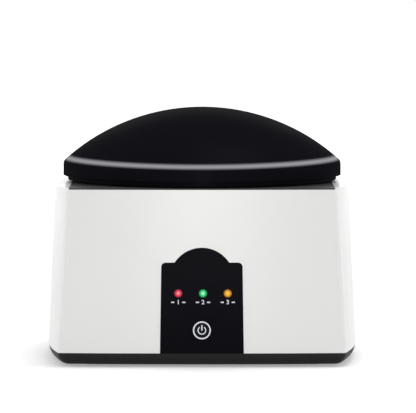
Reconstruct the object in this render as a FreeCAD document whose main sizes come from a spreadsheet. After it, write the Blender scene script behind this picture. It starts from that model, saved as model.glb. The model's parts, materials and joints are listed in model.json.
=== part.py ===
import FreeCAD
import Part
import math
import os
from types import SimpleNamespace

import Sketcher

# Table-top steam remover for gel polish, in millimetres.
# Origin: centre of the footprint, on the table. +Z up, front towards -Y, hinge towards +Y.

SIZES = [
    # name, value, what it is
    ("overall_width", 200.0, "across the bowed sides at the foot of the housing"),
    ("overall_depth", 190.0, "front to back at the foot of the housing"),
    ("overall_height", 161.0, "table to the top of the closed lid"),
    ("body_height", 113.0, "table to the deck"),
    ("parting_height", 9.1, "table to the joint between base pan and housing"),
    ("side_bow", 9.3, "how far each side bows out between its corners"),
    ("face_bow", 3.0, "how far front and back bow out between their corners"),
    ("side_lean", 4.5, "how far the middle of a side leans in over its height"),
    ("corner_lean", 6.3, "how far a corner leans in, side to side"),
    ("face_lean", 4.0, "how far front and back lean in over their height"),
    ("shell_wall", 2.6, "wall of the housing shell"),
    ("shoulder_radius", 8.5, "rounding along the top of both sides"),
    ("crease_radius", 2.5, "rounding round the front and back faces"),
    ("web_wall", 2.0, "web of the shell that carries the deck"),
    ("post_radius", 4.0, "screw posts of the housing shell"),
    ("pan_post_radius", 5.0, "screw posts of the base pan"),
    ("post_side", 23.0, "screw posts inside the widest point of the foot"),
    ("post_end", 18.0, "screw posts inside the front and back of the foot"),
    ("pan_floor", 2.2, "floor of the base pan"),
    ("pan_inset", 0.3, "base pan behind the housing's side"),
    ("pan_corner", 8.0, "plan corners of the base pan"),
    ("bowl_radius", 7.0, "rounding under the base pan"),
    ("lip_height", 2.8, "locating lip of the base pan above the joint"),
    ("lip_wall", 2.0, "wall of the locating lip"),
    ("plinth_drop", 0.8, "flat plinth under the base pan"),
    ("plinth_inset", 13.0, "plinth behind the side of the base pan"),
    ("foot_proud", 0.8, "rubber feet below the plinth"),
    ("foot_sink", 1.5, "depth of the recess of a foot"),
    ("foot_radius", 8.0, "rubber feet"),
    ("foot_side", 40.0, "rubber feet inside the widest point of the foot"),
    ("foot_end", 35.0, "rubber feet inside the front and back of the foot"),
    ("vent_width", 3.0, "air slots"),
    ("vent_length", 26.0, "air slots in the base pan"),
    ("vent_pitch", 7.0, "air slots, middle to middle"),
    ("back_vent_height", 14.0, "air slots in the back wall"),
    ("deck_thickness", 3.4, "deck plate"),
    ("deck_edge", 16.0, "side of the deck plate inside the widest point of the foot"),
    ("tongue_thickness", 0.8, "deck where it covers the front and back walls"),
    ("tongue_inset", 0.7, "edge of the deck behind the face of the housing"),
    ("fit_gap", 0.2, "all round, between a piece and the recess that holds it"),
    ("seat_gap", 0.2, "under a piece that lifts off its seat"),
    ("slip_gap", 0.5, "all round, a loose piece in its opening"),
    ("screw_bite", 9.0, "housing screws into their posts"),
    ("screw_end", 0.4, "bore of an inner screw beyond its tip"),
    ("screw_radius", 1.5, "shank of the housing screws"),
    ("small_screw_radius", 1.1, "shank of the inner screws"),
    ("screw_head", 2.8, "radius of the housing screw heads"),
    ("small_head", 2.1, "radius of the inner screw heads"),
    ("head_height", 2.0, "screw heads"),
    ("deck_screw_side", 22.0, "deck screws inside the side of the deck plate"),
    ("deck_screw_end", 23.0, "deck screws inside the front and back of the foot"),
    ("tray_side", 9.2, "edge of the tray inside the side of the deck plate"),
    ("tray_end", 20.2, "edge of the tray inside the front and back of the foot"),
    ("tray_plate", 2.4, "plate of the finger tray"),
    ("tray_rim", 3.3, "width of the raised rim of the tray"),
    ("tray_rim_rise", 2.0, "raised rim above the plate"),
    ("seat_drop", 5.6, "deck to the ledge that carries the tray"),
    ("seat_thickness", 2.0, "ledge that carries the tray"),
    ("well_wall", 2.0, "wall round the tray"),
    ("seal_thickness", 1.2, "silicone finger seals"),
    ("seal_lap", 1.4, "seal clamped round its port"),
    ("seal_mouth", 7.0, "radius of the middle opening of a seal"),
    ("slit_width", 0.7, "slits between the petals of a seal"),
    ("slit_end", 1.0, "end of a slit inside the edge of the port"),
    ("port_inside", 7.0, "finger port outside the hole for the cap"),
    ("port_outside", 6.0, "finger port inside the wall of the steam chamber"),
    ("port_narrow", 6.0, "how much longer a port is than it is wide"),
    ("inner_port_angle", 46.0, "first port each side of the middle finger, degrees"),
    ("outer_port_angle", 96.0, "second port each side of the middle finger, degrees"),
    ("underplate", 2.0, "clamping plate under the seals"),
    ("cap_hole", 20.0, "radius of the hole in the middle of the tray"),
    ("cap_radius", 25.5, "centre cap"),
    ("cap_rise", 11.0, "centre cap above the tray plate"),
    ("cap_edge", 2.6, "straight edge of the centre cap"),
    ("cap_wall", 1.8, "wall of the centre cap"),
    ("cap_skirt", 4.5, "skirt of the cap down into the tray"),
    ("chamber_inset", 7.8, "wall of the steam chamber inside the edge of the tray"),
    ("chamber_wall", 2.0, "wall and floor of the steam chamber"),
    ("chamber_floor", 58.0, "table to the floor of the steam chamber, inside"),
    ("chamber_screw_inset", 1.3, "ring of the chamber screws inside the edge of the tray"),
    ("plate_radius", 36.0, "heater plate"),
    ("plate_thickness", 2.4, "heater plate"),
    ("plate_boss", 28.0, "radius of the boss under the heater plate"),
    ("boss_drop", 6.0, "boss of the heater plate below the chamber floor"),
    ("gasket_thickness", 0.6, "gasket under the heater plate"),
    ("cup_radius", 30.0, "reservoir cup"),
    ("cup_height", 24.0, "reservoir cup"),
    ("cup_wall", 0.8, "wall of the reservoir cup"),
    ("cup_flange", 3.0, "rolled flange of the reservoir cup"),
    ("heater_long", 40.0, "heating element, side to side"),
    ("heater_wide", 22.0, "heating element, front to back"),
    ("heater_thick", 5.0, "heating element"),
    ("clamp_long", 78.0, "clamp bar under the heating element"),
    ("clamp_wide", 14.0, "clamp bar"),
    ("clamp_thick", 1.5, "clamp bar"),
    ("clamp_end", 5.0, "clamp screws inside the ends of the clamp bar"),
    ("clamp_post", 3.8, "radius of the clamp posts of the chamber"),
    ("thermostat_radius", 7.0, "thermostat"),
    ("thermostat_height", 6.5, "thermostat"),
    ("thermostat_spot", 19.5, "thermostat behind the middle"),
    ("fuse_radius", 2.0, "thermal fuse"),
    ("fuse_length", 14.0, "thermal fuse"),
    ("shield_side", 96.0, "heat shield"),
    ("shield_thickness", 0.8, "heat shield"),
    ("shield_height", 36.0, "table to the heat shield"),
    ("shield_post", 3.0, "radius of the heat shield posts"),
    ("shield_clip", 4.0, "radius of the push-on clips of the heat shield"),
    ("shield_spot", 42.0, "heat shield posts from the middle"),
    ("lid_side", 13.0, "deck to the edge of the lid's roof"),
    ("lid_end", 4.7, "skirt of the lid inside the front and back of the foot"),
    ("lid_wall", 2.8, "wall of the lid"),
    ("lid_lift", 4.0, "deck to the edge of the lid's skirt"),
    ("lid_shoulder", 4.0, "rounding between roof and skirt of the lid"),
    ("liner_wall", 2.0, "wall of the lid liner"),
    ("liner_lift", 1.2, "deck to the rim of the lid liner"),
    ("liner_space", 1.5, "air between lid shell and liner"),
    ("seal_width", 2.5, "lid seal"),
    ("seal_height", 4.0, "lid seal"),
    ("seal_lift", 0.3, "deck to the lid seal"),
    ("pin_radius", 1.5, "hinge pin"),
    ("pin_rise", 6.5, "deck to the hinge axis"),
    ("pin_setback", 4.3, "hinge axis inside the skirt of the lid"),
    ("pin_clearance", 0.05, "hinge pin in its bores"),
    ("ear_radius", 4.5, "rounded top of the hinge ears"),
    ("ear_inside", 17.0, "hinge ears from the middle"),
    ("ear_thick", 6.0, "hinge ears"),
    ("knuckle_radius", 4.2, "hinge knuckle of the liner"),
    ("hinge_gap", 0.6, "round the hinge ears"),
    ("web_depth", 7.0, "web of the hinge knuckle"),
    ("panel_foot", 52.6, "width of the fascia at its foot"),
    ("panel_top", 50.9, "width of the fascia at its shoulders"),
    ("panel_shoulder", 66.2, "table to the shoulders of the fascia"),
    ("panel_corner", 2.8, "rounding of the fascia's shoulders"),
    ("arch_half", 17.1, "half the chord of the fascia's arch"),
    ("arch_rise", 9.4, "arch above the shoulders of the fascia"),
    ("panel_proud", 0.3, "fascia in front of the housing"),
    ("panel_flange", 3.0, "flange of the fascia behind the wall"),
    ("flange_thick", 1.5, "flange of the fascia"),
    ("lens_radius", 2.6, "lamp lenses"),
    ("lens_proud", 0.5, "lamp lenses in front of the fascia"),
    ("lamp_height", 47.0, "table to the lamps"),
    ("lamp_pitch", 15.6, "lamps, middle to middle"),
    ("lamp_shift", 0.7, "row of lamps right of the middle"),
    ("led_radius", 1.5, "lamp diodes"),
    ("button_radius", 5.9, "power button"),
    ("button_height", 23.8, "table to the middle of the power button"),
    ("button_proud", 0.7, "power button in front of the fascia"),
    ("button_flange", 1.5, "collar of the button behind the fascia"),
    ("button_gap", 0.25, "round the power button"),
    ("button_stem", 2.0, "radius of the stem of the button"),
    ("button_travel", 1.0, "travel of the power button"),
    ("board_setback", 15.0, "front of the control board inside the front of the foot"),
    ("board_thick", 1.6, "circuit boards"),
    ("board_width", 46.0, "control board"),
    ("board_low", 14.0, "table to the lower edge of the control board"),
    ("board_high", 58.0, "table to the upper edge of the control board"),
    ("board_post", 2.6, "radius of the posts of the control board"),
    ("board_margin", 1.0, "edge of a board outside its posts"),
    ("board_post_spot", 18.5, "posts of the control board from the middle"),
    ("switch_side", 7.0, "push switch"),
    ("switch_deep", 4.4, "push switch"),
    ("plunger_radius", 1.7, "plunger of the push switch"),
    ("power_board_half", 35.0, "half the width of the power board"),
    ("power_board_front", 26.0, "front edge of the power board behind the middle"),
    ("power_board_end", 8.5, "back edge of the power board inside the back of the foot"),
    ("power_board_height", 10.0, "table to the underside of the power board"),
    ("jack_spot", 24.0, "power socket right of the middle"),
    ("jack_width", 9.0, "power socket"),
    ("jack_height", 11.0, "power socket"),
    ("jack_length", 14.0, "power socket behind the wall"),
    ("jack_nose", 4.2, "radius of the nose of the power socket"),
    ("jack_bore", 2.9, "radius of the bore of the power socket"),
    ("jack_pin", 1.0, "radius of the centre pin of the power socket"),
    ("lead_radius", 1.0, "inner leads"),
    ("lead_pitch", 2.4, "inner leads, middle to middle"),
]

doc = FreeCAD.newDocument("gel_polish_remover")
sheet = doc.addObject("Spreadsheet::Sheet", "sizes")
for row, (alias, value, meaning) in enumerate(SIZES, start=1):
    sheet.set("A%d" % row, alias)
    sheet.set("B%d" % row, str(value))
    sheet.set("C%d" % row, meaning)
    sheet.setAlias("B%d" % row, alias)
doc.recompute()


class Size:
    """A length that knows its value and the sheet formula it comes from."""

    def __init__(self, formula, value):
        self.formula = formula
        self.value = value

    def joined(self, other, sign, value):
        return Size("(%s %s %s)" % (self.formula, sign, formula_of(other)), value)

    def __add__(self, other):
        return self.joined(other, "+", self.value + number(other))

    def __sub__(self, other):
        return self.joined(other, "-", self.value - number(other))

    def __mul__(self, other):
        return self.joined(other, "*", self.value * number(other))

    def __truediv__(self, other):
        return self.joined(other, "/", self.value / number(other))

    def __neg__(self):
        return Size("(-1 * %s)" % self.formula, -self.value)


def number(size):
    return size.value if isinstance(size, Size) else float(size)


def formula_of(size):
    return size.formula if isinstance(size, Size) else repr(float(size))


def root(size):
    return Size("sqrt(%s)" % size.formula, math.sqrt(size.value))


def smaller(first, second):
    formula = "min(%s; %s)" % (first.formula, second.formula)
    return Size(formula, min(first.value, second.value))


def arc_radius(half_chord, rise):
    """Radius of the arc over a chord, from half the chord and the height of the arc."""
    return (half_chord * half_chord + rise * rise) / (rise * 2)


d = SimpleNamespace(
    **{alias: Size("sizes." + alias, float(sheet.get(alias))) for alias, _, _ in SIZES}
)
X = FreeCAD.Vector(1, 0, 0)
Y = FreeCAD.Vector(0, 1, 0)
Z = FreeCAD.Vector(0, 0, 1)
ORIGIN = FreeCAD.Vector(0, 0, 0)
FORWARD = 90.0  # turn about X that points a cylinder to the front
BACKWARD = -90.0  # turn about X that points a cylinder to the back
SIDEWAYS = 90.0  # turn about Y that points a cylinder to the right
ZERO = Size("0", 0.0)
CUT_THROUGH = d.body_height  # deep enough to cut right through a floor
TIGHT = d.pin_clearance / 2  # round a screw in its bore
TO_FRONT = Size("180", 180.0)  # turn that takes a spot from the back to the front
BEND_SHARE = 0.45  # of a straight run, what the bend of a lead takes up
NEAR = 0.01  # heights this close are the same
pieces = {}

# Places across the plan that several pieces share.
foot_half_width = d.overall_width / 2
foot_half_depth = d.overall_depth / 2
post_x = foot_half_width - d.post_side
post_y = foot_half_depth - d.post_end
foot_x = foot_half_width - d.foot_side
foot_y = foot_half_depth - d.foot_end
deck_half_width = foot_half_width - d.deck_edge
lid_radius = foot_half_depth - d.lid_end
tray_radius = smaller(deck_half_width - d.tray_side, foot_half_depth - d.tray_end)
well_radius = tray_radius + d.slip_gap
well_outside = well_radius + d.well_wall
chamber_radius = tray_radius - d.chamber_inset
port_length = chamber_radius - d.cap_hole - d.port_inside - d.port_outside
port_width = port_length - d.port_narrow
port_pitch = d.cap_hole + d.port_inside + port_length / 2
clamp_spot = d.clamp_long / 2 - d.clamp_end
board_face = foot_half_depth - d.board_setback
power_board_back = foot_half_depth - d.power_board_end
dome_radius = arc_radius(lid_radius, d.overall_height - d.body_height - d.lid_side)
pin_back = lid_radius - d.pin_setback
ear_outside = d.ear_inside + d.ear_thick

# Heights that several pieces share.
plinth_under = d.foot_proud
pan_under = plinth_under + d.plinth_drop
pan_top = pan_under + d.pan_floor
deck_under = d.body_height - d.deck_thickness
web_under = deck_under - d.web_wall
seat_top = d.body_height - d.seat_drop
seat_under = seat_top - d.seat_thickness
tray_under = seat_top + d.seat_gap
tray_top = tray_under + d.tray_plate
seal_under = tray_under - d.seal_thickness
underplate_under = seal_under - d.underplate
chamber_under = d.chamber_floor - d.chamber_wall
plate_under = d.chamber_floor + d.gasket_thickness
plate_top = plate_under + d.plate_thickness
boss_under = d.chamber_floor - d.boss_drop
heater_under = boss_under - d.heater_thick
clamp_under = heater_under - d.clamp_thick
pin_height = d.body_height + d.pin_rise
shell_height = d.body_height - d.parting_height
power_board_top = d.power_board_height + d.board_thick


def keep(obj, node):
    """Give a finished piece its own name."""
    obj.Label = node
    pieces[node] = obj
    return obj


def bind(obj, path, size):
    obj.setExpression(path, formula_of(size))


def place(obj, x=0, y=0, z=0, axis=Z, turn=0.0):
    obj.Placement = FreeCAD.Placement(ORIGIN, FreeCAD.Rotation(axis, turn))
    bind(obj, "Placement.Base.x", x)
    bind(obj, "Placement.Base.y", y)
    bind(obj, "Placement.Base.z", z)
    return obj


def cylinder(name, radius, length, x=0, y=0, z=0, axis=Z, turn=0.0):
    obj = doc.addObject("Part::Cylinder", name)
    bind(obj, "Radius", radius)
    bind(obj, "Height", length)
    return place(obj, x, y, z, axis, turn)


def box(name, low, high):
    """Box between two opposite corners."""
    obj = doc.addObject("Part::Box", name)
    for side, start, end in zip(("Length", "Width", "Height"), low, high):
        bind(obj, side, end - start)
    return place(obj, *low)


def fused(name, *shapes):
    obj = doc.addObject("Part::MultiFuse", name)
    obj.Shapes = list(shapes)
    return obj


def common(name, *shapes):
    obj = doc.addObject("Part::MultiCommon", name)
    obj.Shapes = list(shapes)
    return obj


def cut(name, base, tool):
    obj = doc.addObject("Part::Cut", name)
    obj.Base = base
    obj.Tool = tool
    return obj


def group(name, *shapes):
    obj = doc.addObject("Part::Compound", name)
    obj.Links = list(shapes)
    return obj


def new_body(name):
    return doc.addObject("PartDesign::Body", name)


def sketch_on(body, name, role="XY_Plane", lift=0, turn=0):
    sketch = body.newObject("Sketcher::SketchObject", name)
    support = [item for item in body.Origin.OriginFeatures if item.Role == role][0]
    sketch.AttachmentSupport = [(support, "")]
    sketch.MapMode = "FlatFace"
    sketch.AttachmentOffset = FreeCAD.Placement(ORIGIN, FreeCAD.Rotation(Z, number(turn)))
    bind(sketch, "AttachmentOffset.Base.z", lift)
    if number(turn):
        bind(sketch, "AttachmentOffset.Rotation.Angle", turn)
    return sketch


def constrain(sketch, rules):
    """Add constraints, each with the size that drives it or None."""
    rows = sketch.addConstraint([rule for rule, _ in rules])
    for row, (_, size) in zip(rows, rules):
        if size is not None:
            sketch.setExpression("Constraints[%d]" % row, formula_of(size))


def point_rules(geometry, end, x=None, y=None):
    rules = []
    if x is not None:
        rules.append((Sketcher.Constraint("DistanceX", -1, 1, geometry, end, number(x)), x))
    if y is not None:
        rules.append((Sketcher.Constraint("DistanceY", -1, 1, geometry, end, number(y)), y))
    return rules


def join_rule(first, first_end, second, second_end):
    return (Sketcher.Constraint("Coincident", first, first_end, second, second_end), None)


def radius_rule(geometry, size):
    return (Sketcher.Constraint("Radius", geometry, number(size)), size)


def point(x, y):
    return FreeCAD.Vector(number(x), number(y), 0)


def arc(centre_x, centre_y, radius, start, end):
    circle = Part.Circle(point(centre_x, centre_y), Z, number(radius))
    return Part.ArcOfCircle(circle, math.radians(start), math.radians(end))


def polygon(sketch, corners):
    """Closed straight-sided outline through corners."""
    first = sketch.GeometryCount
    count = len(corners)
    ends = [point(x, y) for x, y in corners]
    lines = [Part.LineSegment(ends[i], ends[(i + 1) % count]) for i in range(count)]
    sketch.addGeometry(lines, False)
    rules = []
    for i, (x, y) in enumerate(corners):
        rules.append(join_rule(first + i, 2, first + (i + 1) % count, 1))
        rules += point_rules(first + i, 1, x, y)
    constrain(sketch, rules)


def rectangle(sketch, low_x, low_y, high_x, high_y):
    polygon(sketch, [(low_x, low_y), (high_x, low_y), (high_x, high_y), (low_x, high_y)])


def circle(sketch, x, y, radius):
    row = sketch.addGeometry(Part.Circle(point(x, y), Z, number(radius)), False)
    constrain(sketch, point_rules(row, 3, x, y) + [radius_rule(row, radius)])


def slot(sketch, middle, width, length):
    """Round-ended slot along the sketch's upright axis."""
    end = width / 2
    reach = (length - width) / 2
    low = middle - reach
    high = middle + reach
    first = sketch.GeometryCount
    sketch.addGeometry(
        [
            arc(0, high, end, 0, 180),
            Part.LineSegment(point(-end, high), point(-end, low)),
            arc(0, low, end, 180, 360),
            Part.LineSegment(point(end, low), point(end, high)),
        ],
        False,
    )
    rules = [join_rule(first + i, 2, first + (i + 1) % 4, 1) for i in range(4)]
    for row, level in ((first, high), (first + 2, low)):
        rules += point_rules(row, 3, 0, level)
        rules += point_rules(row, 1, None, level)
        rules += point_rules(row, 2, None, level)
        rules.append(radius_rule(row, end))
    constrain(sketch, rules)


def circles_meet(first_x, first_radius, second_y, second_radius):
    """Where a circle about (first_x, 0) meets one about (0, second_y), up and to the right."""
    apart = math.hypot(first_x, second_y)
    along = (first_radius**2 - second_radius**2 + apart**2) / (2 * apart)
    off = math.sqrt(first_radius**2 - along**2)
    step_x = -first_x / apart
    step_y = second_y / apart
    x = first_x + along * step_x + off * step_y
    y = along * step_y - off * step_x
    other_x = first_x + along * step_x - off * step_y
    other_y = along * step_y + off * step_x
    return (x, y) if x + y > other_x + other_y else (other_x, other_y)


def housing_outline(sketch, lean, inset, corner):
    """Plan of the housing: four bowed sides joined by rounded corners.

    lean is the share of the full lean: none at the foot, all of it at the deck.
    """
    half_width = foot_half_width - inset - d.side_lean * lean
    half_depth = foot_half_depth - inset - d.face_lean * lean
    corner_x = foot_half_width - inset - d.side_bow - d.corner_lean * lean
    corner_y = half_depth - d.face_bow
    side = arc_radius(corner_y, half_width - corner_x)
    face = arc_radius(corner_x, half_depth - corner_y)
    side_x = half_width - side
    face_y = half_depth - face
    middle_x, middle_y = circles_meet(
        number(side_x), number(side - corner), number(face_y), number(face - corner)
    )
    side_turn = math.degrees(math.atan2(middle_y, middle_x - number(side_x)))
    face_turn = math.degrees(math.atan2(middle_x, middle_y - number(face_y)))
    turns = [side_turn, 90 - face_turn, 90 + face_turn, 180 - side_turn]
    turns += [180 + side_turn, 270 - face_turn, 270 + face_turn, 360 - side_turn]
    bows = [(side_x, 0, side), (0, face_y, face), (-side_x, 0, side), (0, -face_y, face)]
    shapes = []
    for row, (x, y, radius) in enumerate(bows):
        start = turns[2 * row - 1] - (360 if row == 0 else 0)
        shapes.append(arc(x, y, radius, start, turns[2 * row]))
        corner_at_x = middle_x if row in (0, 3) else -middle_x
        corner_at_y = middle_y if row in (0, 1) else -middle_y
        shapes.append(arc(corner_at_x, corner_at_y, corner, turns[2 * row], turns[2 * row + 1]))
    sketch.addGeometry(shapes, False)
    rules = [
        (Sketcher.Constraint("Tangent", row, 2, (row + 1) % 8, 1), None) for row in range(8)
    ]
    for row, (x, y, radius) in enumerate(bows):
        rules += point_rules(2 * row, 3, x, y)
        rules += [radius_rule(2 * row, radius), radius_rule(2 * row + 1, corner)]
    constrain(sketch, rules)


def pad(body, sketch, length, down=False):
    feature = body.newObject("PartDesign::Pad", sketch.Name + "Pad")
    feature.Profile = sketch
    feature.Reversed = down
    bind(feature, "Length", length)
    sketch.Visibility = False
    return feature


def pocket(body, sketch, length, forward=False):
    """Cut against the sketch's normal, or along it when forward."""
    feature = body.newObject("PartDesign::Pocket", sketch.Name + "Pocket")
    feature.Profile = sketch
    feature.Reversed = forward
    bind(feature, "Length", length)
    return feature


def turned(body, sketch):
    """Revolve a profile of radius and height about the upright axis."""
    feature = body.newObject("PartDesign::Revolution", sketch.Name + "Turn")
    feature.Profile = sketch
    feature.ReferenceAxis = (sketch, ["V_Axis"])
    feature.Angle = 360
    return feature


def turned_piece(name, corners):
    body = new_body(name)
    sketch = sketch_on(body, name + "Profile", "XZ_Plane")
    polygon(sketch, corners)
    turned(body, sketch)
    return body


def loft(body, kind, name, inset, low, high):
    """Housing form with its own draft, from one height to another, added or taken away."""
    foot = sketch_on(body, name + "Foot", lift=low)
    housing_outline(foot, (low - d.parting_height) / shell_height, inset, d.crease_radius)
    top = sketch_on(body, name + "Top", lift=high)
    housing_outline(top, (high - d.parting_height) / shell_height, inset, d.crease_radius)
    feature = body.newObject("PartDesign::" + kind, name)
    feature.Profile = foot
    feature.Sections = [top]
    feature.Ruled = True
    return feature


def round_edges(body, name, radius, chosen):
    """Fillet the edges of the body so far that chosen() picks."""
    doc.recompute()
    base = body.Tip
    edges = enumerate(base.Shape.Edges, start=1)
    picked = ["Edge%d" % row for row, edge in edges if chosen(edge)]
    feature = body.newObject("PartDesign::Fillet", name)
    feature.Base = (base, picked)
    bind(feature, "Radius", radius)
    return feature


def lies_at(edge, height):
    bounds = edge.BoundBox
    return abs(bounds.ZMin - number(height)) < NEAR and abs(bounds.ZMax - number(height)) < NEAR


def corner_spots(x, y):
    return [(x, y), (-x, y), (-x, -y), (x, -y)]


def screw(name, x, y, seat, length, shank, head):
    """Screw driven upwards: head under its seat, shank above it."""
    top = cylinder(name + "Head", head, d.head_height, x, y, seat - d.head_height)
    stem = cylinder(name + "Shank", shank, length, x, y, seat)
    return fused(name, top, stem)


def screw_group(node, spots, seat, length, shank, head):
    parts = [
        screw("%s_%d" % (node, row), x, y, seat, length, shank, head)
        for row, (x, y) in enumerate(spots)
    ]
    keep(group(node, *parts), node)


def hull(name, inset):
    """Solid of the housing's outer form, set in by inset."""
    body = new_body(name)
    loft(body, "AdditiveLoft", name + "Loft", inset, d.parting_height, d.body_height)
    return body


def skin(name, outer_inset, inner_inset):
    """Layer that follows the front of the housing between two insets."""
    return cut(name, hull(name + "Outer", outer_inset), hull(name + "Inner", inner_inset))


# Base pan: black moulded tray with a rounded underside, a plinth, and the posts inside.
def build_base_pan():
    body = new_body("base_pan")
    slab = sketch_on(body, "PanOutline", lift=pan_under)
    housing_outline(slab, 0, d.pan_inset, d.pan_corner)
    pad(body, slab, d.parting_height - pan_under)
    round_edges(body, "PanBowl", d.bowl_radius, lambda edge: lies_at(edge, pan_under))
    lip_outside = d.shell_wall + d.fit_gap
    lip = sketch_on(body, "LipOutline", lift=d.parting_height)
    housing_outline(lip, 0, lip_outside + d.pan_inset, d.pan_corner)
    pad(body, lip, d.lip_height)
    hollow = sketch_on(body, "PanHollow", lift=d.parting_height + d.lip_height)
    housing_outline(hollow, 0, lip_outside + d.pan_inset + d.lip_wall, d.pan_corner)
    pocket(body, hollow, d.parting_height + d.lip_height - pan_top)
    plinth = sketch_on(body, "PlinthOutline", lift=plinth_under)
    housing_outline(plinth, 0, d.plinth_inset, d.pan_corner)
    pad(body, plinth, d.plinth_drop)
    posts = sketch_on(body, "PanPosts", lift=pan_top)
    for x, y in corner_spots(post_x, post_y):
        circle(posts, x, y, d.pan_post_radius)
    pad(body, posts, d.parting_height + d.lip_height - pan_top)
    shield_posts = sketch_on(body, "ShieldPosts", lift=pan_top)
    for x, y in corner_spots(d.shield_spot, d.shield_spot):
        circle(shield_posts, x, y, d.shield_post)
    pad(body, shield_posts, d.shield_height - pan_top)
    board_posts = sketch_on(body, "BoardPosts", lift=pan_top)
    for x, y in power_board_spots():
        circle(board_posts, x, y, d.board_post)
    pad(body, board_posts, d.power_board_height - pan_top)
    bores = sketch_on(body, "ScrewBores", lift=d.parting_height + d.lip_height)
    for x, y in corner_spots(post_x, post_y):
        circle(bores, x, y, d.screw_radius + d.fit_gap)
    pocket(body, bores, CUT_THROUGH)
    sinks = sketch_on(body, "ScrewSinks", lift=pan_top)
    for x, y in corner_spots(post_x, post_y):
        circle(sinks, x, y, d.screw_head + d.fit_gap)
    pocket(body, sinks, CUT_THROUGH)
    feet = sketch_on(body, "FootRecesses", lift=plinth_under + d.foot_sink)
    for x, y in corner_spots(foot_x, foot_y):
        circle(feet, x, y, d.foot_radius + d.fit_gap)
    pocket(body, feet, CUT_THROUGH)
    vents = sketch_on(body, "FloorVents", lift=pan_top)
    for step in range(-3, 4):
        x = d.vent_pitch * step
        rectangle(vents, x - d.vent_width / 2, -d.vent_length, x + d.vent_width / 2, ZERO)
    pocket(body, vents, CUT_THROUGH)
    keep(body, "base_pan")


def power_board_spots():
    """Posts of the power board, in from its corners."""
    inset = d.board_post + d.board_margin
    across = d.power_board_half - inset
    front = d.power_board_front + inset
    back = power_board_back - inset
    return [(across, front), (-across, front), (-across, back), (across, back)]


# Rubber feet: four pads pressed into recesses of the pan.
def build_rubber_feet():
    pads = [
        cylinder("Foot%d" % row, d.foot_radius, d.foot_proud + d.foot_sink, x, y, 0)
        for row, (x, y) in enumerate(corner_spots(foot_x, foot_y))
    ]
    keep(group("rubber_feet", *pads), "rubber_feet")


# Housing shell: white moulding with bowed, leaning sides, and a web that carries the deck.
def build_body_shell():
    body = new_body("body_shell")
    loft(body, "AdditiveLoft", "ShellForm", 0, d.parting_height, d.body_height)
    for name, side in (("RightShoulder", 1), ("LeftShoulder", -1)):
        shoulder = sketch_on(body, name, "XZ_Plane", -foot_half_depth)
        shoulder_outline(shoulder, side)
        pocket(body, shoulder, d.overall_depth, forward=True)
    loft(body, "SubtractiveLoft", "ShellHollow", d.shell_wall, d.parting_height, web_under)
    recess = sketch_on(body, "DeckRecess", "YZ_Plane", -deck_half_width)
    deck_recess_outline(recess)
    pocket(body, recess, deck_half_width * 2, forward=True)
    opening = sketch_on(body, "WellOpening", lift=deck_under)
    circle(opening, 0, 0, well_outside + d.slip_gap)
    pocket(body, opening, d.body_height - d.chamber_floor)
    posts = sketch_on(body, "ShellPosts", lift=d.parting_height + d.lip_height)
    for x, y in corner_spots(post_x, post_y):
        circle(posts, x, y, d.post_radius)
    pad(body, posts, web_under + d.web_wall / 2 - d.parting_height - d.lip_height)
    bores = sketch_on(body, "ShellBores", lift=d.parting_height + d.lip_height)
    for x, y in corner_spots(post_x, post_y):
        circle(bores, x, y, d.screw_radius)
    pocket(body, bores, d.screw_bite + d.lip_height, forward=True)
    deck_holes = sketch_on(body, "DeckHoles", lift=deck_under)
    for x, y in deck_screw_spots():
        circle(deck_holes, x, y, d.small_screw_radius + d.fit_gap)
    pocket(body, deck_holes, d.web_wall)
    window = sketch_on(body, "FasciaWindow", "XZ_Plane", board_face)
    fascia_outline(window, d.fit_gap)
    pocket(body, window, d.overall_depth - board_face, forward=True)
    jack = sketch_on(body, "JackHole", "XZ_Plane", -board_face)
    circle(jack, d.jack_spot, power_board_top + d.jack_height / 2, d.jack_nose + d.fit_gap)
    pocket(body, jack, d.overall_depth - board_face)
    vents = sketch_on(body, "BackVents", "XZ_Plane", -board_face)
    for step in range(7):
        x = -foot_x + d.vent_pitch * step
        low = d.button_height - d.back_vent_height / 2
        rectangle(vents, x, low, x + d.vent_width, low + d.back_vent_height)
    pocket(body, vents, d.overall_depth - board_face)
    keep(body, "body_shell")


def deck_recess_outline(sketch):
    """Section of the seat of the deck: deep between the walls, shallow over their tops."""
    inside = foot_half_depth - d.face_lean - d.face_bow - d.shell_wall
    shelf = d.body_height - d.tongue_thickness
    half = [(foot_half_depth, d.body_height), (foot_half_depth, shelf), (inside, shelf)]
    half.append((inside, deck_under))
    polygon(sketch, half + [(-y, z) for y, z in reversed(half)])


def shoulder_outline(sketch, side):
    """What the rounding along the top of one side takes away."""
    radius = d.shoulder_radius
    low = d.body_height - radius
    lean = d.side_lean * radius / shell_height
    edge = foot_half_width - d.side_lean + lean
    clear = edge + radius
    high = d.body_height + radius
    turn = (0, 90) if side > 0 else (90, 180)
    flat_end, edge_end = (2, 1) if side > 0 else (1, 2)
    sketch.addGeometry(
        [
            arc((edge - radius) * side, low, radius, *turn),
            Part.LineSegment(point(edge * side, low), point(clear * side, low)),
            Part.LineSegment(point(clear * side, low), point(clear * side, high)),
            Part.LineSegment(point(clear * side, high), point((edge - radius) * side, high)),
            Part.LineSegment(
                point((edge - radius) * side, high), point((edge - radius) * side, d.body_height)
            ),
        ],
        False,
    )
    rules = [join_rule(0, edge_end, 1, 1), join_rule(4, 2, 0, flat_end)]
    rules += [join_rule(row, 2, row + 1, 1) for row in (1, 2, 3)]
    rules += point_rules(0, 3, (edge - radius) * side, low) + [radius_rule(0, radius)]
    rules += point_rules(0, flat_end, (edge - radius) * side, None)
    rules += point_rules(0, edge_end, None, low)
    rules += point_rules(1, 2, clear * side, low)
    rules += point_rules(2, 2, clear * side, high)
    rules += point_rules(3, 2, (edge - radius) * side, high)
    constrain(sketch, rules)


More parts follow.
